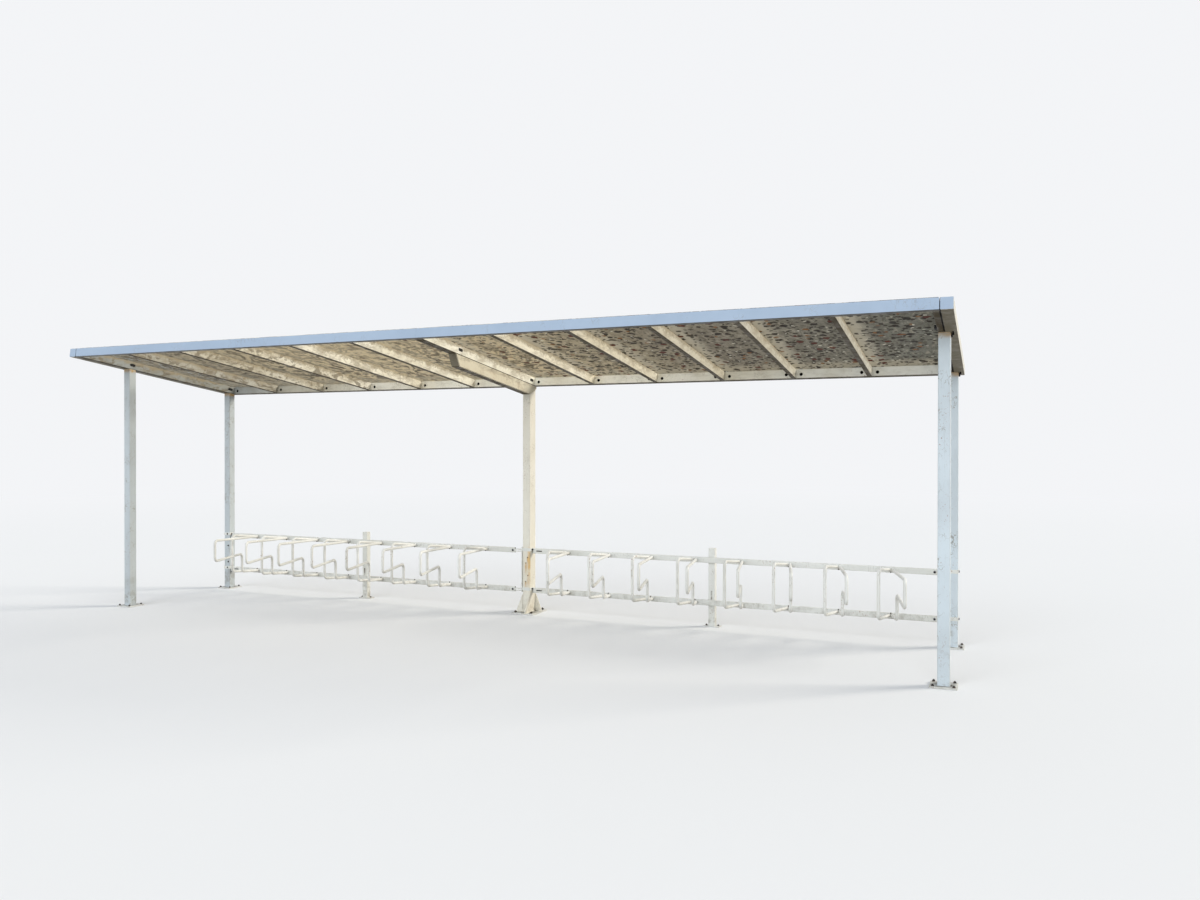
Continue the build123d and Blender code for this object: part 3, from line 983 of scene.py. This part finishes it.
def makeMiddlePost():
    place = Matrix.Translation((0, rearRow, 0))
    wall, thick = middle["wall"], middle["footThick"]
    outer = roundedBox(half * 2, middle["depth"], middle["corner"])
    inner = roundedBox((half - wall) * 2, middle["depth"] - 2 * wall, middle["corner"] - wall)
    mesh = bmesh.new()
    addTube(mesh, outer, inner, thick, middleTop, place)
    ring = roundedBox(half * 2, middle["depth"], middle["corner"], 2)
    addWeld(mesh, [(px, rearRow + py, middleTop(px, py)) for px, py in ring], True, 0.003)
    addWeld(mesh, [(px, rearRow + py, thick + 0.001) for px, py in ring], True, 0.004)
    makePiece("middlePost", mesh, [middleSteel], ["middle_post"])

    low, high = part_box("middle_foot_plate")
    mesh = bmesh.new()
    foot = roundedBox(high.x - low.x, high.y - low.y, 0.008, 2)
    addPlate(mesh, [foot], thick, 0.0015, Matrix.Translation((0, rearRow, thick / 2)))
    makePiece("middleFootPlate", mesh, [footSteel], ["middle_foot_plate"])
    mesh = bmesh.new()
    for sideX in (-1, 1):
        for sideY in (-1, 1):
            y = rearRow + sideY * middle["anchorY"]
            addAnchor(mesh, sideX * middle["anchorX"], y, thick, middle["anchorGrow"])
    makePiece("middleFoot_anchors", mesh, [darkMetal, zinc])


def makeGussets():
    mesh = bmesh.new()
    thick, tall, nose = gusset["thick"], gusset["height"], gusset["nose"]
    edgeX = half - thick / 2
    edgeY = (middle["depth"] - thick) / 2
    deep = middle["depth"] / 2
    places = (
        (half, edgeY, 0, "sideFoot"),
        (-edgeX, deep, 90, "endFoot"),
        (-half, -edgeY, 180, "sideFoot"),
        (edgeX, -deep, 270, "endFoot"),
    )
    for px, py, turn, foot in places:
        reach = gusset[foot]
        outline = [(0, 0), (reach, 0), (reach, nose), (nose, tall), (0, tall)]
        place = Matrix.Translation((px, rearRow + py, middle["footThick"]))
        place = place @ Matrix.Rotation(math.radians(turn), 4, "Z")
        addPlate(mesh, [outline], thick, 0.0008, place @ Matrix.Rotation(math.radians(90), 4, "X"))
        for side in (-thick / 2, thick / 2):
            run = [(reach - 0.004, side, 0.0006), (0.001, side, 0.0006), (0.001, side, tall - 0.006)]
            addWeld(mesh, [place @ Vector(p) for p in run], False, 0.0026)
    makePiece("middleGussets", mesh, [middleSteel], ["middle_gussets"])


for row in ("front", "rear"):
    for side in ("left", "right"):
        makeCornerPost(f"cornerPost_{row}_{side}", f"corner_post_{row}_{side}")
makeMiddlePost()
makeGussets()
print("posts made")


# The beam over the middle post and the roof members
def makeCentreBeam():
    cutBack = beamFront + beam["rake"]
    outline = [
        (beamFront, roofLevel(beamFront)),
        (cutBack, roofLevel(cutBack, beam["depth"])),
        (taperStart, taperLevel),
        (beamRear, tipLevel),
        (beamRear, roofLevel(beamRear)),
    ]
    mesh = bmesh.new()
    addTube(mesh, outline, None, -beam["width"] / 2, beam["width"] / 2, sideways(0, 0, 0))
    bmesh.ops.bevel(mesh, geom=mesh.edges[:], offset=beam["edge"], segments=3, affect="EDGES")
    makePiece("centreBeam", mesh, [beamSteel], ["centre_beam"])


# Round holes in the rear beams, and long ones in the edge rafters
access = {
    "radius": 0.014,
    "offset": 0.064,
    "level": 0.035,
    "slot": 0.060,
    "slotHeight": 0.025,
    "slotLevel": 0.042,
    "slotRows": (-0.008, rearBeamFace - 0.065),
}


def addMember(mesh, width, low, high, place):
    wall, corner = member["wall"], member["corner"]
    outer = roundedBox(width, member["depth"], corner, 3)
    inner = roundedBox(width - 2 * wall, member["depth"] - 2 * wall, corner - wall, 3)
    addTube(mesh, outer, inner, low, high, place, inside=1)


def jointWelds(mesh, centres):
    # upright beads where the rafters meet the front and the rear members
    front = roofFront + member["fascia"]
    for centre in centres:
        for sideX in (-1, 1):
            for end in (front + 0.001, rearBeamFace - 0.001):
                x = centre + sideX * (member["rafter"] / 2 + 0.0004)
                run = [roofPlace @ Vector((x, end, z)) for z in (0.006, member["depth"] - 0.006)]
                addWeld(mesh, run, False, 0.0022)


def makeBay(side):
    start = bayStarts[side] + layout["gap"] / 2
    end = start + moduleLength
    centres = rafterCentres(start)
    level = member["depth"] / 2
    rafterEnds = (roofFront + member["fascia"], rearBeamFace)

    mesh = bmesh.new()
    meet = layout["gap"] / 2 - 0.0004  # the fascias nearly touch over the middle post
    ends = (start, end + meet) if side == "left" else (start - meet, end)
    place = roofPlace @ sideways(0, roofFront + member["fascia"] / 2, level)
    addMember(mesh, member["fascia"], *ends, place)
    makePiece(f"fascia_{side}", mesh, [skylitFasciaSteel, insideShadeSteel], [f"fascia_{side}_bay"])

    mesh = bmesh.new()
    place = roofPlace @ sideways(0, roofRear - member["rearBeam"] / 2, level)
    addMember(mesh, member["rearBeam"], start, end, place)
    rear = makePiece(f"rearBeam_{side}", mesh, [roofSteel, insideShadeSteel], [f"rear_beam_{side}_bay"])

    def holes(cutter):
        radius = access["radius"]
        for x in centres:
            for at in (x - access["offset"], x + access["offset"]):
                if start < at < end:
                    place = roofPlace @ aim((at, rearBeamFace - 0.01, access["level"]), (0, 1, 0))
                    addTurned(cutter, [(0, 0), (radius, 0), (radius, 0.02), (0, 0.02)], 24, place)

    cutPiece(rear, holes)

    for label, centre, inward in (("left", centres[0], 1), ("right", centres[-1], -1)):
        mesh = bmesh.new()
        addMember(mesh, member["rafter"], *rafterEnds, alongSlope(centre, level))
        node = f"edge_rafter_{side}_bay_{label}"
        piece = makePiece(f"edgeRafter_{side}_{label}", mesh, [roofSteel, insideShadeSteel], [node])

        def slots(cutter):
            wall = centre + inward * member["rafter"] / 2
            hole = longHole(access["slot"], access["slotHeight"])
            for y in access["slotRows"]:
                place = roofPlace @ sideways(wall, y, access["slotLevel"])
                addTube(cutter, hole, None, -0.008, 0.008, place)

        cutPiece(piece, slots)

    mesh = bmesh.new()
    for centre in centres[1:-1]:
        addMember(mesh, member["rafter"], *rafterEnds, alongSlope(centre, level))
    jointWelds(mesh, centres[1:-1])
    makePiece(f"rafters_{side}", mesh, [roofSteel, insideShadeSteel], [f"rafters_{side}_bay"])


endBeam = {"width": 0.080, "drain": 0.110, "drainWidth": 0.010, "drainClear": 0.014}


def makeEndBeam(label, sign):
    centre = sign * (bay + layout["gap"] / 2 + endBeam["width"] / 2)
    mesh = bmesh.new()
    outer = roundedBox(endBeam["width"], member["depth"], member["corner"], 3)
    addTube(mesh, outer, None, roofFront, roofRear, alongSlope(centre, member["depth"] / 2))
    ends = [e for e in mesh.edges if len(e.link_faces) == 2 and max(len(f.verts) for f in e.link_faces) > 4]
    bmesh.ops.bevel(mesh, geom=ends, offset=0.0015, segments=2, affect="EDGES")
    back = roofPlace.inverted()
    # the front faces take the fascia's painted sky light
    for face in mesh.faces:
        if (back @ face.calc_center_median()).y < roofFront + 0.001:
            face.material_index = 1
    piece = makePiece(f"endBeam_{label}", mesh, [endSteel, skylitFasciaSteel, insideShadeSteel], [f"end_beam_{label}"])

    def drains(cutter):
        x = sign * (bay + half + endBeam["drainClear"])
        hole = longHole(endBeam["drain"], endBeam["drainWidth"])
        for y in (0, rearRowOnSlope):
            turn = Matrix(((0, 1, 0, x), (1, 0, 0, y), (0, 0, 1, 0), (0, 0, 0, 1)))
            addTube(cutter, hole, None, -0.01, 0.03, roofPlace @ turn, 2)

    cutPiece(piece, drains)


# Oval plugs in the access slots, and round ones at the post tops
plug = {
    "length": 0.062,
    "height": 0.026,
    "sunk": 0.004,
    "proud": 0.004,
    "loose": 0.024,
    "round": 0.0145,
    "out": 0.013,
    "drop": 0.015,
}


def makePlugs():
    mesh = bmesh.new()
    outline = longHole(plug["length"], plug["height"], 28)
    for side, start in bayStarts.items():
        centres = rafterCentres(start + layout["gap"] / 2)
        for centre, inward in ((centres[0], 1), (centres[-1], -1)):
            # the plugs at the right end have worked loose
            loose = side == "right" and inward < 0
            thick = plug["sunk"] + (plug["loose"] if loose else plug["proud"])
            x = centre + inward * (member["rafter"] / 2 + thick / 2 - plug["sunk"])
            for y in access["slotRows"]:
                addPlate(mesh, [outline], thick, 0.0025, roofPlace @ sideways(x, y, access["slotLevel"]))
    for sign in (-1, 1):
        for row in (frontRow, rearRow):
            point = (sign * (bay + half), row, roofLevel(row) - plug["drop"])
            addCap(mesh, point, (sign, 0, 0), plug["round"], plug["out"])
    makePiece("blackPlugs", mesh, [blackPlastic])


makeCentreBeam()
for side in bayStarts:
    makeBay(side)
makeEndBeam("left", -1)
makeEndBeam("right", 1)
makePlugs()
print("roof frame made")


# The roof sheets, their screws and what lies on them
sheet = {
    "inset": 0.006,
    "frontInset": 0.030,
    "edge": 0.0012,
    "screwPitch": 0.31,
    "screwEnd": 0.05,
    "screwInset": 0.018,
    "washer": ((0, 0), (0.0095, 0), (0.0095, 0.0016), (0.008, 0.0026), (0, 0.0026)),
    "head": ((0, 0.0024), (0.0046, 0.0024), (0.0046, 0.0058), (0.0036, 0.0068), (0, 0.0068)),
}
leaf = {
    "count": 260,
    "washed": 90,  # these lie against the rear edge
    "length": (0.022, 0.042),
    "curl": (0.05, 0.5),
    "thick": 0.0007,
    "width": 0.9,
    "profile": ((0.0, 0.0), (0.16, 0.30), (0.36, 0.42), (0.60, 0.34), (0.84, 0.14), (1.0, 0.0)),
}


def makeSheetPiece(side):
    start = bayStarts[side] + layout["gap"] / 2
    low = (start + sheet["inset"], roofFront + sheet["frontInset"])
    high = (start + moduleLength - sheet["inset"], roofRear - sheet["inset"])
    mesh = bmesh.new()
    outline = [(low[0], low[1]), (high[0], low[1]), (high[0], high[1]), (low[0], high[1])]
    bottom = member["depth"]
    top = bottom + layout["sheet"]
    addTube(mesh, outline, None, bottom, top, roofPlace)
    bmesh.ops.bevel(mesh, geom=mesh.edges[:], offset=sheet["edge"], segments=2, affect="EDGES")
    clear = makePiece(f"roofSheet_{side}", mesh, [sheetPlastic], [f"roof_sheet_{side}_bay"])
    clear.visible_shadow = False  # the sun shines through the sheets

    mesh = bmesh.new()
    run = high[1] - low[1] - 2 * sheet["screwEnd"]
    count = round(run / sheet["screwPitch"])
    for x in rafterCentres(start):
        x = min(max(x, low[0] + sheet["screwInset"]), high[0] - sheet["screwInset"])
        for i in range(count + 1):
            y = low[1] + sheet["screwEnd"] + run * i / count
            place = roofPlace @ Matrix.Translation((x, y, top - 0.0002))
            addTurned(mesh, sheet["washer"], 14, place, 1)
            addTurned(mesh, sheet["head"], 6, place)
    makePiece(f"roofScrews_{side}", mesh, [zinc, blackPlastic])
    return low, high, top


def addLeaf(mesh, place, length, curl, slot):
    # a thin pointed leaf with a fold along its midrib, closed all round
    layers = []
    for lift in (0.0, leaf["thick"]):
        spine = []
        for share, _ in leaf["profile"]:
            x = (share - 0.5) * length
            spine.append(Vector((x, 0, lift + curl * (share - 0.5) ** 2 * length)))
        lines = []
        for sign in (1, -1):
            edge = []
            for point, (_, wide) in zip(spine[1:-1], leaf["profile"][1:-1]):
                out = sign * wide * length * leaf["width"]
                edge.append(point + Vector((0, out, wide * length * abs(curl) * 0.5)))
            lines.append(edge)
        lines.append(spine)
        layers.append([[mesh.verts.new(place @ p) for p in line] for line in lines])
    (leftA, rightA, spineA), (leftB, rightB, spineB) = layers

    def face(*corners):
        mesh.faces.new(corners).material_index = slot

    for left, right, spine in layers:
        for edge in (left, right):
            face(spine[0], edge[0], spine[1])
            face(spine[-1], spine[-2], edge[-1])
            for i in range(len(edge) - 1):
                face(spine[i + 1], edge[i], edge[i + 1], spine[i + 2])
    for edgeA, edgeB in ((leftA, leftB), (rightA, rightB)):
        lineA = [spineA[0], *edgeA, spineA[-1]]
        lineB = [spineB[0], *edgeB, spineB[-1]]
        for i in range(len(lineA) - 1):
            face(lineA[i], lineA[i + 1], lineB[i + 1], lineB[i])


def scatterLeaves(side, low, high, top, draw):
    mesh = bmesh.new()
    margin = 0.04
    for i in range(leaf["count"] + leaf["washed"]):
        x = draw.uniform(low[0] + margin, high[0] - margin)
        y = draw.uniform(low[1] + margin, high[1] - margin)
        if i >= leaf["count"]:
            y = high[1] - 0.05 - abs(draw.gauss(0, 0.05))
        length = draw.uniform(*leaf["length"])
        tilt = Matrix.Rotation(draw.uniform(0, 2 * math.pi), 4, "Z")
        place = roofPlace @ Matrix.Translation((x, y, top + 0.0001)) @ tilt
        addLeaf(mesh, place, length, draw.uniform(*leaf["curl"]), draw.choice((0, 0, 1)))
    makePiece(f"fallenLeaves_{side}", mesh, [leafBrown, leafYellow], sharp=80)


draw = random.Random(20)
for side in bayStarts:
    scatterLeaves(side, *makeSheetPiece(side), draw)
print("roof sheets made")


# Rails, tongues, straps and hangers
rail = {
    "height": 0.050,
    "depth": 0.025,
    "wall": 0.0025,
    "corner": 0.004,
    "slotStart": 0.044,
    "slot": 0.062,
    "slotHeight": 0.010,
}
railLevels = {"top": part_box("top_rail_left_bay")[0].z, "bottom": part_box("bottom_rail_left_bay")[0].z}
tongue = {
    "height": 0.030,
    "thick": 0.005,
    "slotStart": 0.022,
    "slotHeight": 0.009,
    "slotEnd": 0.014,
    "overlap": 0.034,
}
strap = {
    "thick": 0.004,
    "height": 0.030,
    "levels": (0.220, 0.602),
    "leg": 0.012,
    "bend": 0.005,
}
hanger = {
    "width": 0.012,
    "proud": 0.006,
    "inner": 0.010,
    "corner": 0.0015,
    "bead": 0.013,
}
smallBolt = (0.009, 0.006, 0.012)  # head, its height and washer


def makeRail(side, level):
    node = f"{level}_rail_{side}_bay"
    low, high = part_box(node)
    wall, z = rail["wall"], (low.z + high.z) / 2
    outer = roundedBox(rail["depth"], rail["height"], rail["corner"], 3)
    inner = roundedBox(rail["depth"] - 2 * wall, rail["height"] - 2 * wall, rail["corner"] - wall, 3)
    mesh = bmesh.new()
    addTube(mesh, outer, inner, low.x, high.x, sideways(0, (low.y + high.y) / 2, z), inside=1)
    piece = makePiece(f"{level}Rail_{side}", mesh, [paintedSteel, insideShadeSteel], [node])

    def slot(cutter):
        centre = bayStarts[side] + half + rail["slotStart"] + rail["slot"] / 2
        hole = longHole(rail["slot"], rail["slotHeight"])
        place = Matrix(((1, 0, 0, centre), (0, 0, -1, low.y), (0, 1, 0, z), (0, 0, 0, 1)))
        addTube(cutter, hole, None, -0.006, 0.006, place)

    cutPiece(piece, slot)


def makeTongues(side):
    low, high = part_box(f"rail_tongues_{side}_bay")
    mesh = bmesh.new()
    bolts = bmesh.new()
    centre = (low.x + high.x) / 2
    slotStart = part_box(f"top_rail_{side}_bay")[1].x + tongue["slotEnd"]
    slotEnd = high.x - tongue["slotStart"]
    outline = roundedBox(high.x - low.x, tongue["height"], 0.003, 2)
    hole = longHole(slotEnd - slotStart, tongue["slotHeight"], x=(slotStart + slotEnd) / 2 - centre)
    for level in railLevels.values():
        z = level + rail["height"] / 2
        place = Matrix.Translation((centre, railFace - tongue["thick"] / 2, z))
        place = place @ Matrix.Rotation(math.radians(90), 4, "X")
        addPlate(mesh, [outline, hole], tongue["thick"], 0.0008, place)
        addBolt(bolts, (low.x + tongue["overlap"] * 0.5, railFace - tongue["thick"], z), (0, -1, 0))
    makePiece(f"railTongues_{side}", mesh, [paintedSteel], [f"rail_tongues_{side}_bay"])
    makePiece(f"railTongues_{side}_bolts", bolts, [blackPlastic, zinc])


def addStrap(mesh, x, depth, level, legs):
    # bent round the post's front, with its legs on the post's sides
    t = strap["thick"]
    front = rearRow - depth - t / 2
    legEnd = rearRow + strap["leg"]
    left = x - half - t / 2
    right = x + half + t / 2
    corners = [(left, legEnd, 0), (left, front, 0)] if legs == 2 else [(x - half, front, 0)]
    corners += [(right, front, 0), (right, legEnd, 0)]
    path = bentLine(corners, strap["bend"], 4)
    addTube(mesh, stripOutline(path, t), None, level, level + strap["height"])


def makeHanger(name, node, x, depth):
    low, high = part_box(node)
    front = rearRow - depth - hanger["proud"]
    rear = rearRow - hanger["inner"]
    outline = roundedBox(hanger["width"], rear - front, hanger["corner"], 2)
    place = Matrix.Translation((x - half - hanger["width"] / 2, (front + rear) / 2, 0))
    mesh = bmesh.new()
    addTube(mesh, outline, None, low.z, high.z, place)
    bolts = bmesh.new()
    for level in strap["levels"]:
        addStrap(mesh, x, depth, level, 1)
        z = level + strap["height"] / 2
        face = rearRow - depth - strap["thick"]
        bead = [(x - half - 0.001, face, z + dz) for dz in (-hanger["bead"], hanger["bead"])]
        addWeld(mesh, bead, False, 0.0025)
        legMiddle = rearRow - depth / 2 + strap["leg"] / 2
        addBolt(bolts, (x + half + strap["thick"], legMiddle, z), (1, 0, 0), *smallBolt)
    makePiece(name, mesh, [paintedSteel], [node])
    makePiece(name + "_bolts", bolts, [blackPlastic, zinc])


def makeEndStraps():
    mesh = bmesh.new()
    bolts = bmesh.new()
    x = boxMiddle("corner_post_rear_left").x
    for level in strap["levels"]:
        addStrap(mesh, x, half, level, 2)
        z = level + strap["height"] / 2
        addBolt(bolts, (x + half + strap["thick"], rearRow - 0.012, z), (1, 0, 0), *smallBolt)
        addBolt(bolts, (x + 0.012, rearRow - half - strap["thick"], z), (0, -1, 0), 0.008, 0.005, 0.011)
    for z in (0.485, 0.301):
        addBolt(bolts, (x + 0.022, rearRow - half, z), (0, -1, 0), 0.009, 0.006, 0.011)
    makePiece("endStraps", mesh, [paintedSteel], ["straps_rear_left_post"])
    makePiece("endStraps_bolts", bolts, [blackPlastic, zinc])


def makePostScrews():
    # small heads above the rust runs on the middle post's front
    mesh = bmesh.new()
    for x, z, _, _ in postScrews:
        addCap(mesh, (x, rearRow - middle["depth"] / 2, z), (0, -1, 0), 0.0055, 0.002)
    makePiece("middlePost_screws", mesh, [darkMetal])


for side in bayStarts:
    for level in railLevels:
        makeRail(side, level)
    makeTongues(side)
makeHanger("hangerMiddlePost", "hanger_middle_post", 0.0, middle["depth"] / 2)
makeHanger("hangerRearRightPost", "hanger_rear_right_post", bay, half)
makeEndStraps()
makePostScrews()
print("rails made")

support = {
    "size": 0.060,
    "corner": 0.006,
    "topEdge": 0.002,
    "foot": 0.008,
    "hole": 0.006,
    "holeLevel": 0.320,
    "anchor": 0.055,
    "anchorGrow": 0.85,
    "bead": 0.022,
}


def makeSupport(side):
    node = f"rail_support_{side}_bay"
    low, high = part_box(node)
    x = (low.x + high.x) / 2
    y = railHigh.y + support["size"] / 2
    mesh = bmesh.new()
    outer = roundedBox(support["size"], support["size"], support["corner"])
    addTube(mesh, outer, None, support["foot"], high.z, Matrix.Translation((x, y, 0)))
    top = [e for e in mesh.edges if min(v.co.z for v in e.verts) > high.z - 1e-5]
    bmesh.ops.bevel(mesh, geom=top, offset=support["topEdge"], segments=2, affect="EDGES")
    tube = makePiece(f"railSupport_{side}", mesh, [supportSteel], [node])

    def hole(cutter):
        place = aim((x, railHigh.y - 0.004, support["holeLevel"]), (0, 1, 0))
        radius = support["hole"]
        addTurned(cutter, [(0, 0), (radius, 0), (radius, 0.012), (0, 0.012)], 18, place)

    cutPiece(tube, hole)
    mesh = bmesh.new()
    foot = roundedBox(high.x - low.x, high.y - low.y, 0.005, 2)
    footPlace = Matrix.Translation((x, (low.y + high.y) / 2, support["foot"] / 2))
    addPlate(mesh, [foot], support["foot"], 0.001, footPlace)
    ring = roundedBox(support["size"], support["size"], support["corner"], 2)
    addWeld(mesh, [(x + px, y + py, support["foot"] + 0.001) for px, py in ring], True, 0.003)
    for level in railLevels.values():
        for z in (level + 0.0005, level + rail["height"] - 0.0005):
            addWeld(mesh, [(x + dx, railHigh.y + 0.0008, z) for dx in (-support["bead"], support["bead"])])
    makePiece(f"railSupport_{side}_foot", mesh, [footSteel], [node])
    bolts = bmesh.new()
    for sign in (-1, 1):
        addAnchor(bolts, x + sign * support["anchor"], y, support["foot"], support["anchorGrow"])
    makePiece(f"railSupport_{side}_anchors", bolts, [darkMetal, zinc])


for side in bayStarts:
    makeSupport(side)
print("rail supports made")


# Wheel stands: two bent tubes that meet side by side on both rails
stand = {
    "tube": 0.026, "bend": 0.040, "steps": 8, "sides": 18,
    "seatX": 0.061, "spread": 0.011, "topSeat": 0.602, "bottomSeat": 0.222,
    "legReach": 0.310, "legTop": 0.640, "legBottom": 0.242,
    "hookX": 0.142, "hookBottom": 0.250, "hookTop": 0.445,
    "loopX": 0.2435, "loopReach": 0.784, "loopBottom": 0.420, "loopTop": 0.635,
    "into": 0.004,  # the tube's end goes into the rail's wall
    "boltDrop": 0.0195,
    "bolt": ((0, 0), (0.0062, 0), (0.0062, 0.0038), (0.005, 0.0046), (0, 0.0046)),
}


def makeStand(name, node):
    s = stand
    origin = Vector((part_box(node)[0].x + s["tube"] / 2, railFace, 0))
    leg, loop, into = -s["legReach"], -s["loopReach"], s["into"]
    leftSeat, rightSeat = s["seatX"] - s["spread"], s["seatX"] + s["spread"]
    left = [
        (leftSeat, into, s["topSeat"]),
        (0, leg, s["legTop"]),
        (0, leg, s["legBottom"]),
        (leftSeat, into, s["bottomSeat"]),
    ]
    right = [
        (rightSeat, into, s["topSeat"]),
        (s["loopX"], loop, s["loopTop"]),
        (s["loopX"], loop, s["loopBottom"]),
        (s["hookX"], leg, s["hookTop"]),
        (s["hookX"], leg, s["hookBottom"]),
        (rightSeat, into, s["bottomSeat"]),
    ]
    mesh = bmesh.new()
    for corners in (left, right):
        path = [origin + p for p in bentLine(corners, s["bend"], s["steps"])]
        addRod(mesh, path, s["tube"] / 2, s["sides"])
    tall = s["tube"] / 2
    wide = s["spread"] + tall
    for level, drop in ((s["topSeat"], -s["boltDrop"]), (s["bottomSeat"], s["boltDrop"])):
        # one bead round both tube ends, and the bolt that holds the seat to the rail
        seat = origin + Vector((s["seatX"], 0, level))
        bead = [seat + Vector((wide * math.cos(a), -0.0006, tall * math.sin(a))) for a in turnsOf(28)]
        addRod(mesh, bead, weld["size"], weld["sides"], True, 0.14)
        addTurned(mesh, s["bolt"], 6, aim(seat + Vector((0, 0, drop)), (0, -1, 0)), 1)
    makePiece(name, mesh, [standSteel, darkMetal], [node], 50)


for side in bayStarts:
    for number in range(1, 9):
        makeStand(f"wheelStand_{side}_{number}", f"wheel_stand_{side}_bay_{number}")
print("wheel stands made")


# The floor, the light and the camera
studio = {
    "floorSize": 120.0,
    "floor": (0.80, 0.81, 0.825),
    "floorBounce": (0.40, 0.39, 0.37),
    "paper": (0.90, 0.91, 0.93, 1.0),
    "air": (0.93, 0.96, 1.0, 1.0),
    "ambient": 0.55,
    "fadeStart": 9.0,
    "fadeEnd": 26.0,
    # name, strength, spread in degrees, direction of its source, colour
    "lamps": (
        ("keyLight", 2.6, 20, (0.80, 0.48, 0.42), (1.0, 0.94, 0.83)),
        ("fillLight", 2.0, 60, (-0.1, -0.9, 0.4), (0.90, 0.95, 1.0)),
        ("underLight", 0.9, 90, (0.25, -0.15, -1.0), (1.0, 0.98, 0.94)),
    ),
}


def showsPaper(nodes):
    # 1 for a ray that sees the background straight, in a reflection or through glass
    path = nodes.add("LightPath").outputs
    seen = nodes.calc("MAXIMUM", path["Is Camera Ray"], path["Is Glossy Ray"])
    return nodes.calc("MAXIMUM", seen, path["Is Transmission Ray"])


def makeFloor():
    size = studio["floorSize"]
    data = bpy.data.meshes.new("studioFloor")
    corners = [(-size, -size, 0), (size, -size, 0), (size, size, 0), (-size, size, 0)]
    data.from_pydata(corners, [], [(0, 1, 2, 3)])
    floor = addObject("studioFloor", data)
    coat = Coat("paleFloor", 0.9, shine=0.1)
    seen = showsPaper(coat)
    coat.colour = coat.mix(seen, studio["floorBounce"], studio["floor"])
    data.materials.append(coat.finish())
    # far off it fades into the paper behind
    far = coat.add("VectorMath", {0: coat.place}, operation="LENGTH").outputs["Value"]
    fade = coat.times(coat.between(far, studio["fadeStart"], studio["fadeEnd"]), seen)
    near = coat.tree.nodes["Principled BSDF"].outputs[0]
    glow = coat.add("Emission", {"Color": studio["paper"], "Strength": 1.0}).outputs[0]
    blend = coat.add("MixShader", {0: fade, 1: near, 2: glow})
    coat.plug(blend.outputs[0], coat.tree.nodes["Material Output"].inputs["Surface"])
    floor.visible_shadow = False  # it lets the low lamp through to the undersides


def makeWorld():
    world = bpy.data.worlds.new("studioWorld")
    bpy.context.scene.world = world
    world.use_nodes = True
    world.node_tree.nodes.clear()
    nodes = Nodes(world.node_tree)
    soft = nodes.add("Background", {"Color": studio["air"], "Strength": studio["ambient"]}).outputs[0]
    shown = nodes.add("Background", {"Color": studio["paper"], "Strength": 1.0}).outputs[0]
    blend = nodes.add("MixShader", {0: showsPaper(nodes), 1: soft, 2: shown})
    nodes.add("OutputWorld", {"Surface": blend.outputs[0]})


def makeLamp(name, strength, spread, source, tint):
    lamp = bpy.data.lights.new(name, "SUN")
    lamp.energy = strength
    lamp.angle = math.radians(spread)
    lamp.color = tint
    addObject(name, lamp).matrix_world = aim((0, 0, 5), source)


makeFloor()
makeWorld()
for lamp in studio["lamps"]:
    makeLamp(*lamp)

# Where the photograph was taken from, in metres, degrees and millimetres
view = {
    "x": 4.2015,
    "behindRow": 7.93916,
    "z": 1.6335,
    "yaw": 23.4787,
    "pitch": 0.3163,
    "roll": 0.0514,
    "lens": 27.539,
    "sensor": 36.0,
}
cameraData = bpy.data.cameras.new("photoView")
cameraData.lens = view["lens"]
cameraData.sensor_width = view["sensor"]
camera = addObject("photoView", cameraData)
camera.matrix_world = Matrix.Translation((view["x"], rearRow - view["behindRow"], view["z"]))
for angle, axis in ((view["yaw"], "Z"), (90 - view["pitch"], "X"), (view["roll"], "Z")):
    camera.matrix_world = camera.matrix_world @ Matrix.Rotation(math.radians(angle), 4, axis)
bpy.context.scene.camera = camera
bpy.context.scene.view_settings.view_transform = "Standard"
print("studio made")

bpy.context.view_layer.update()
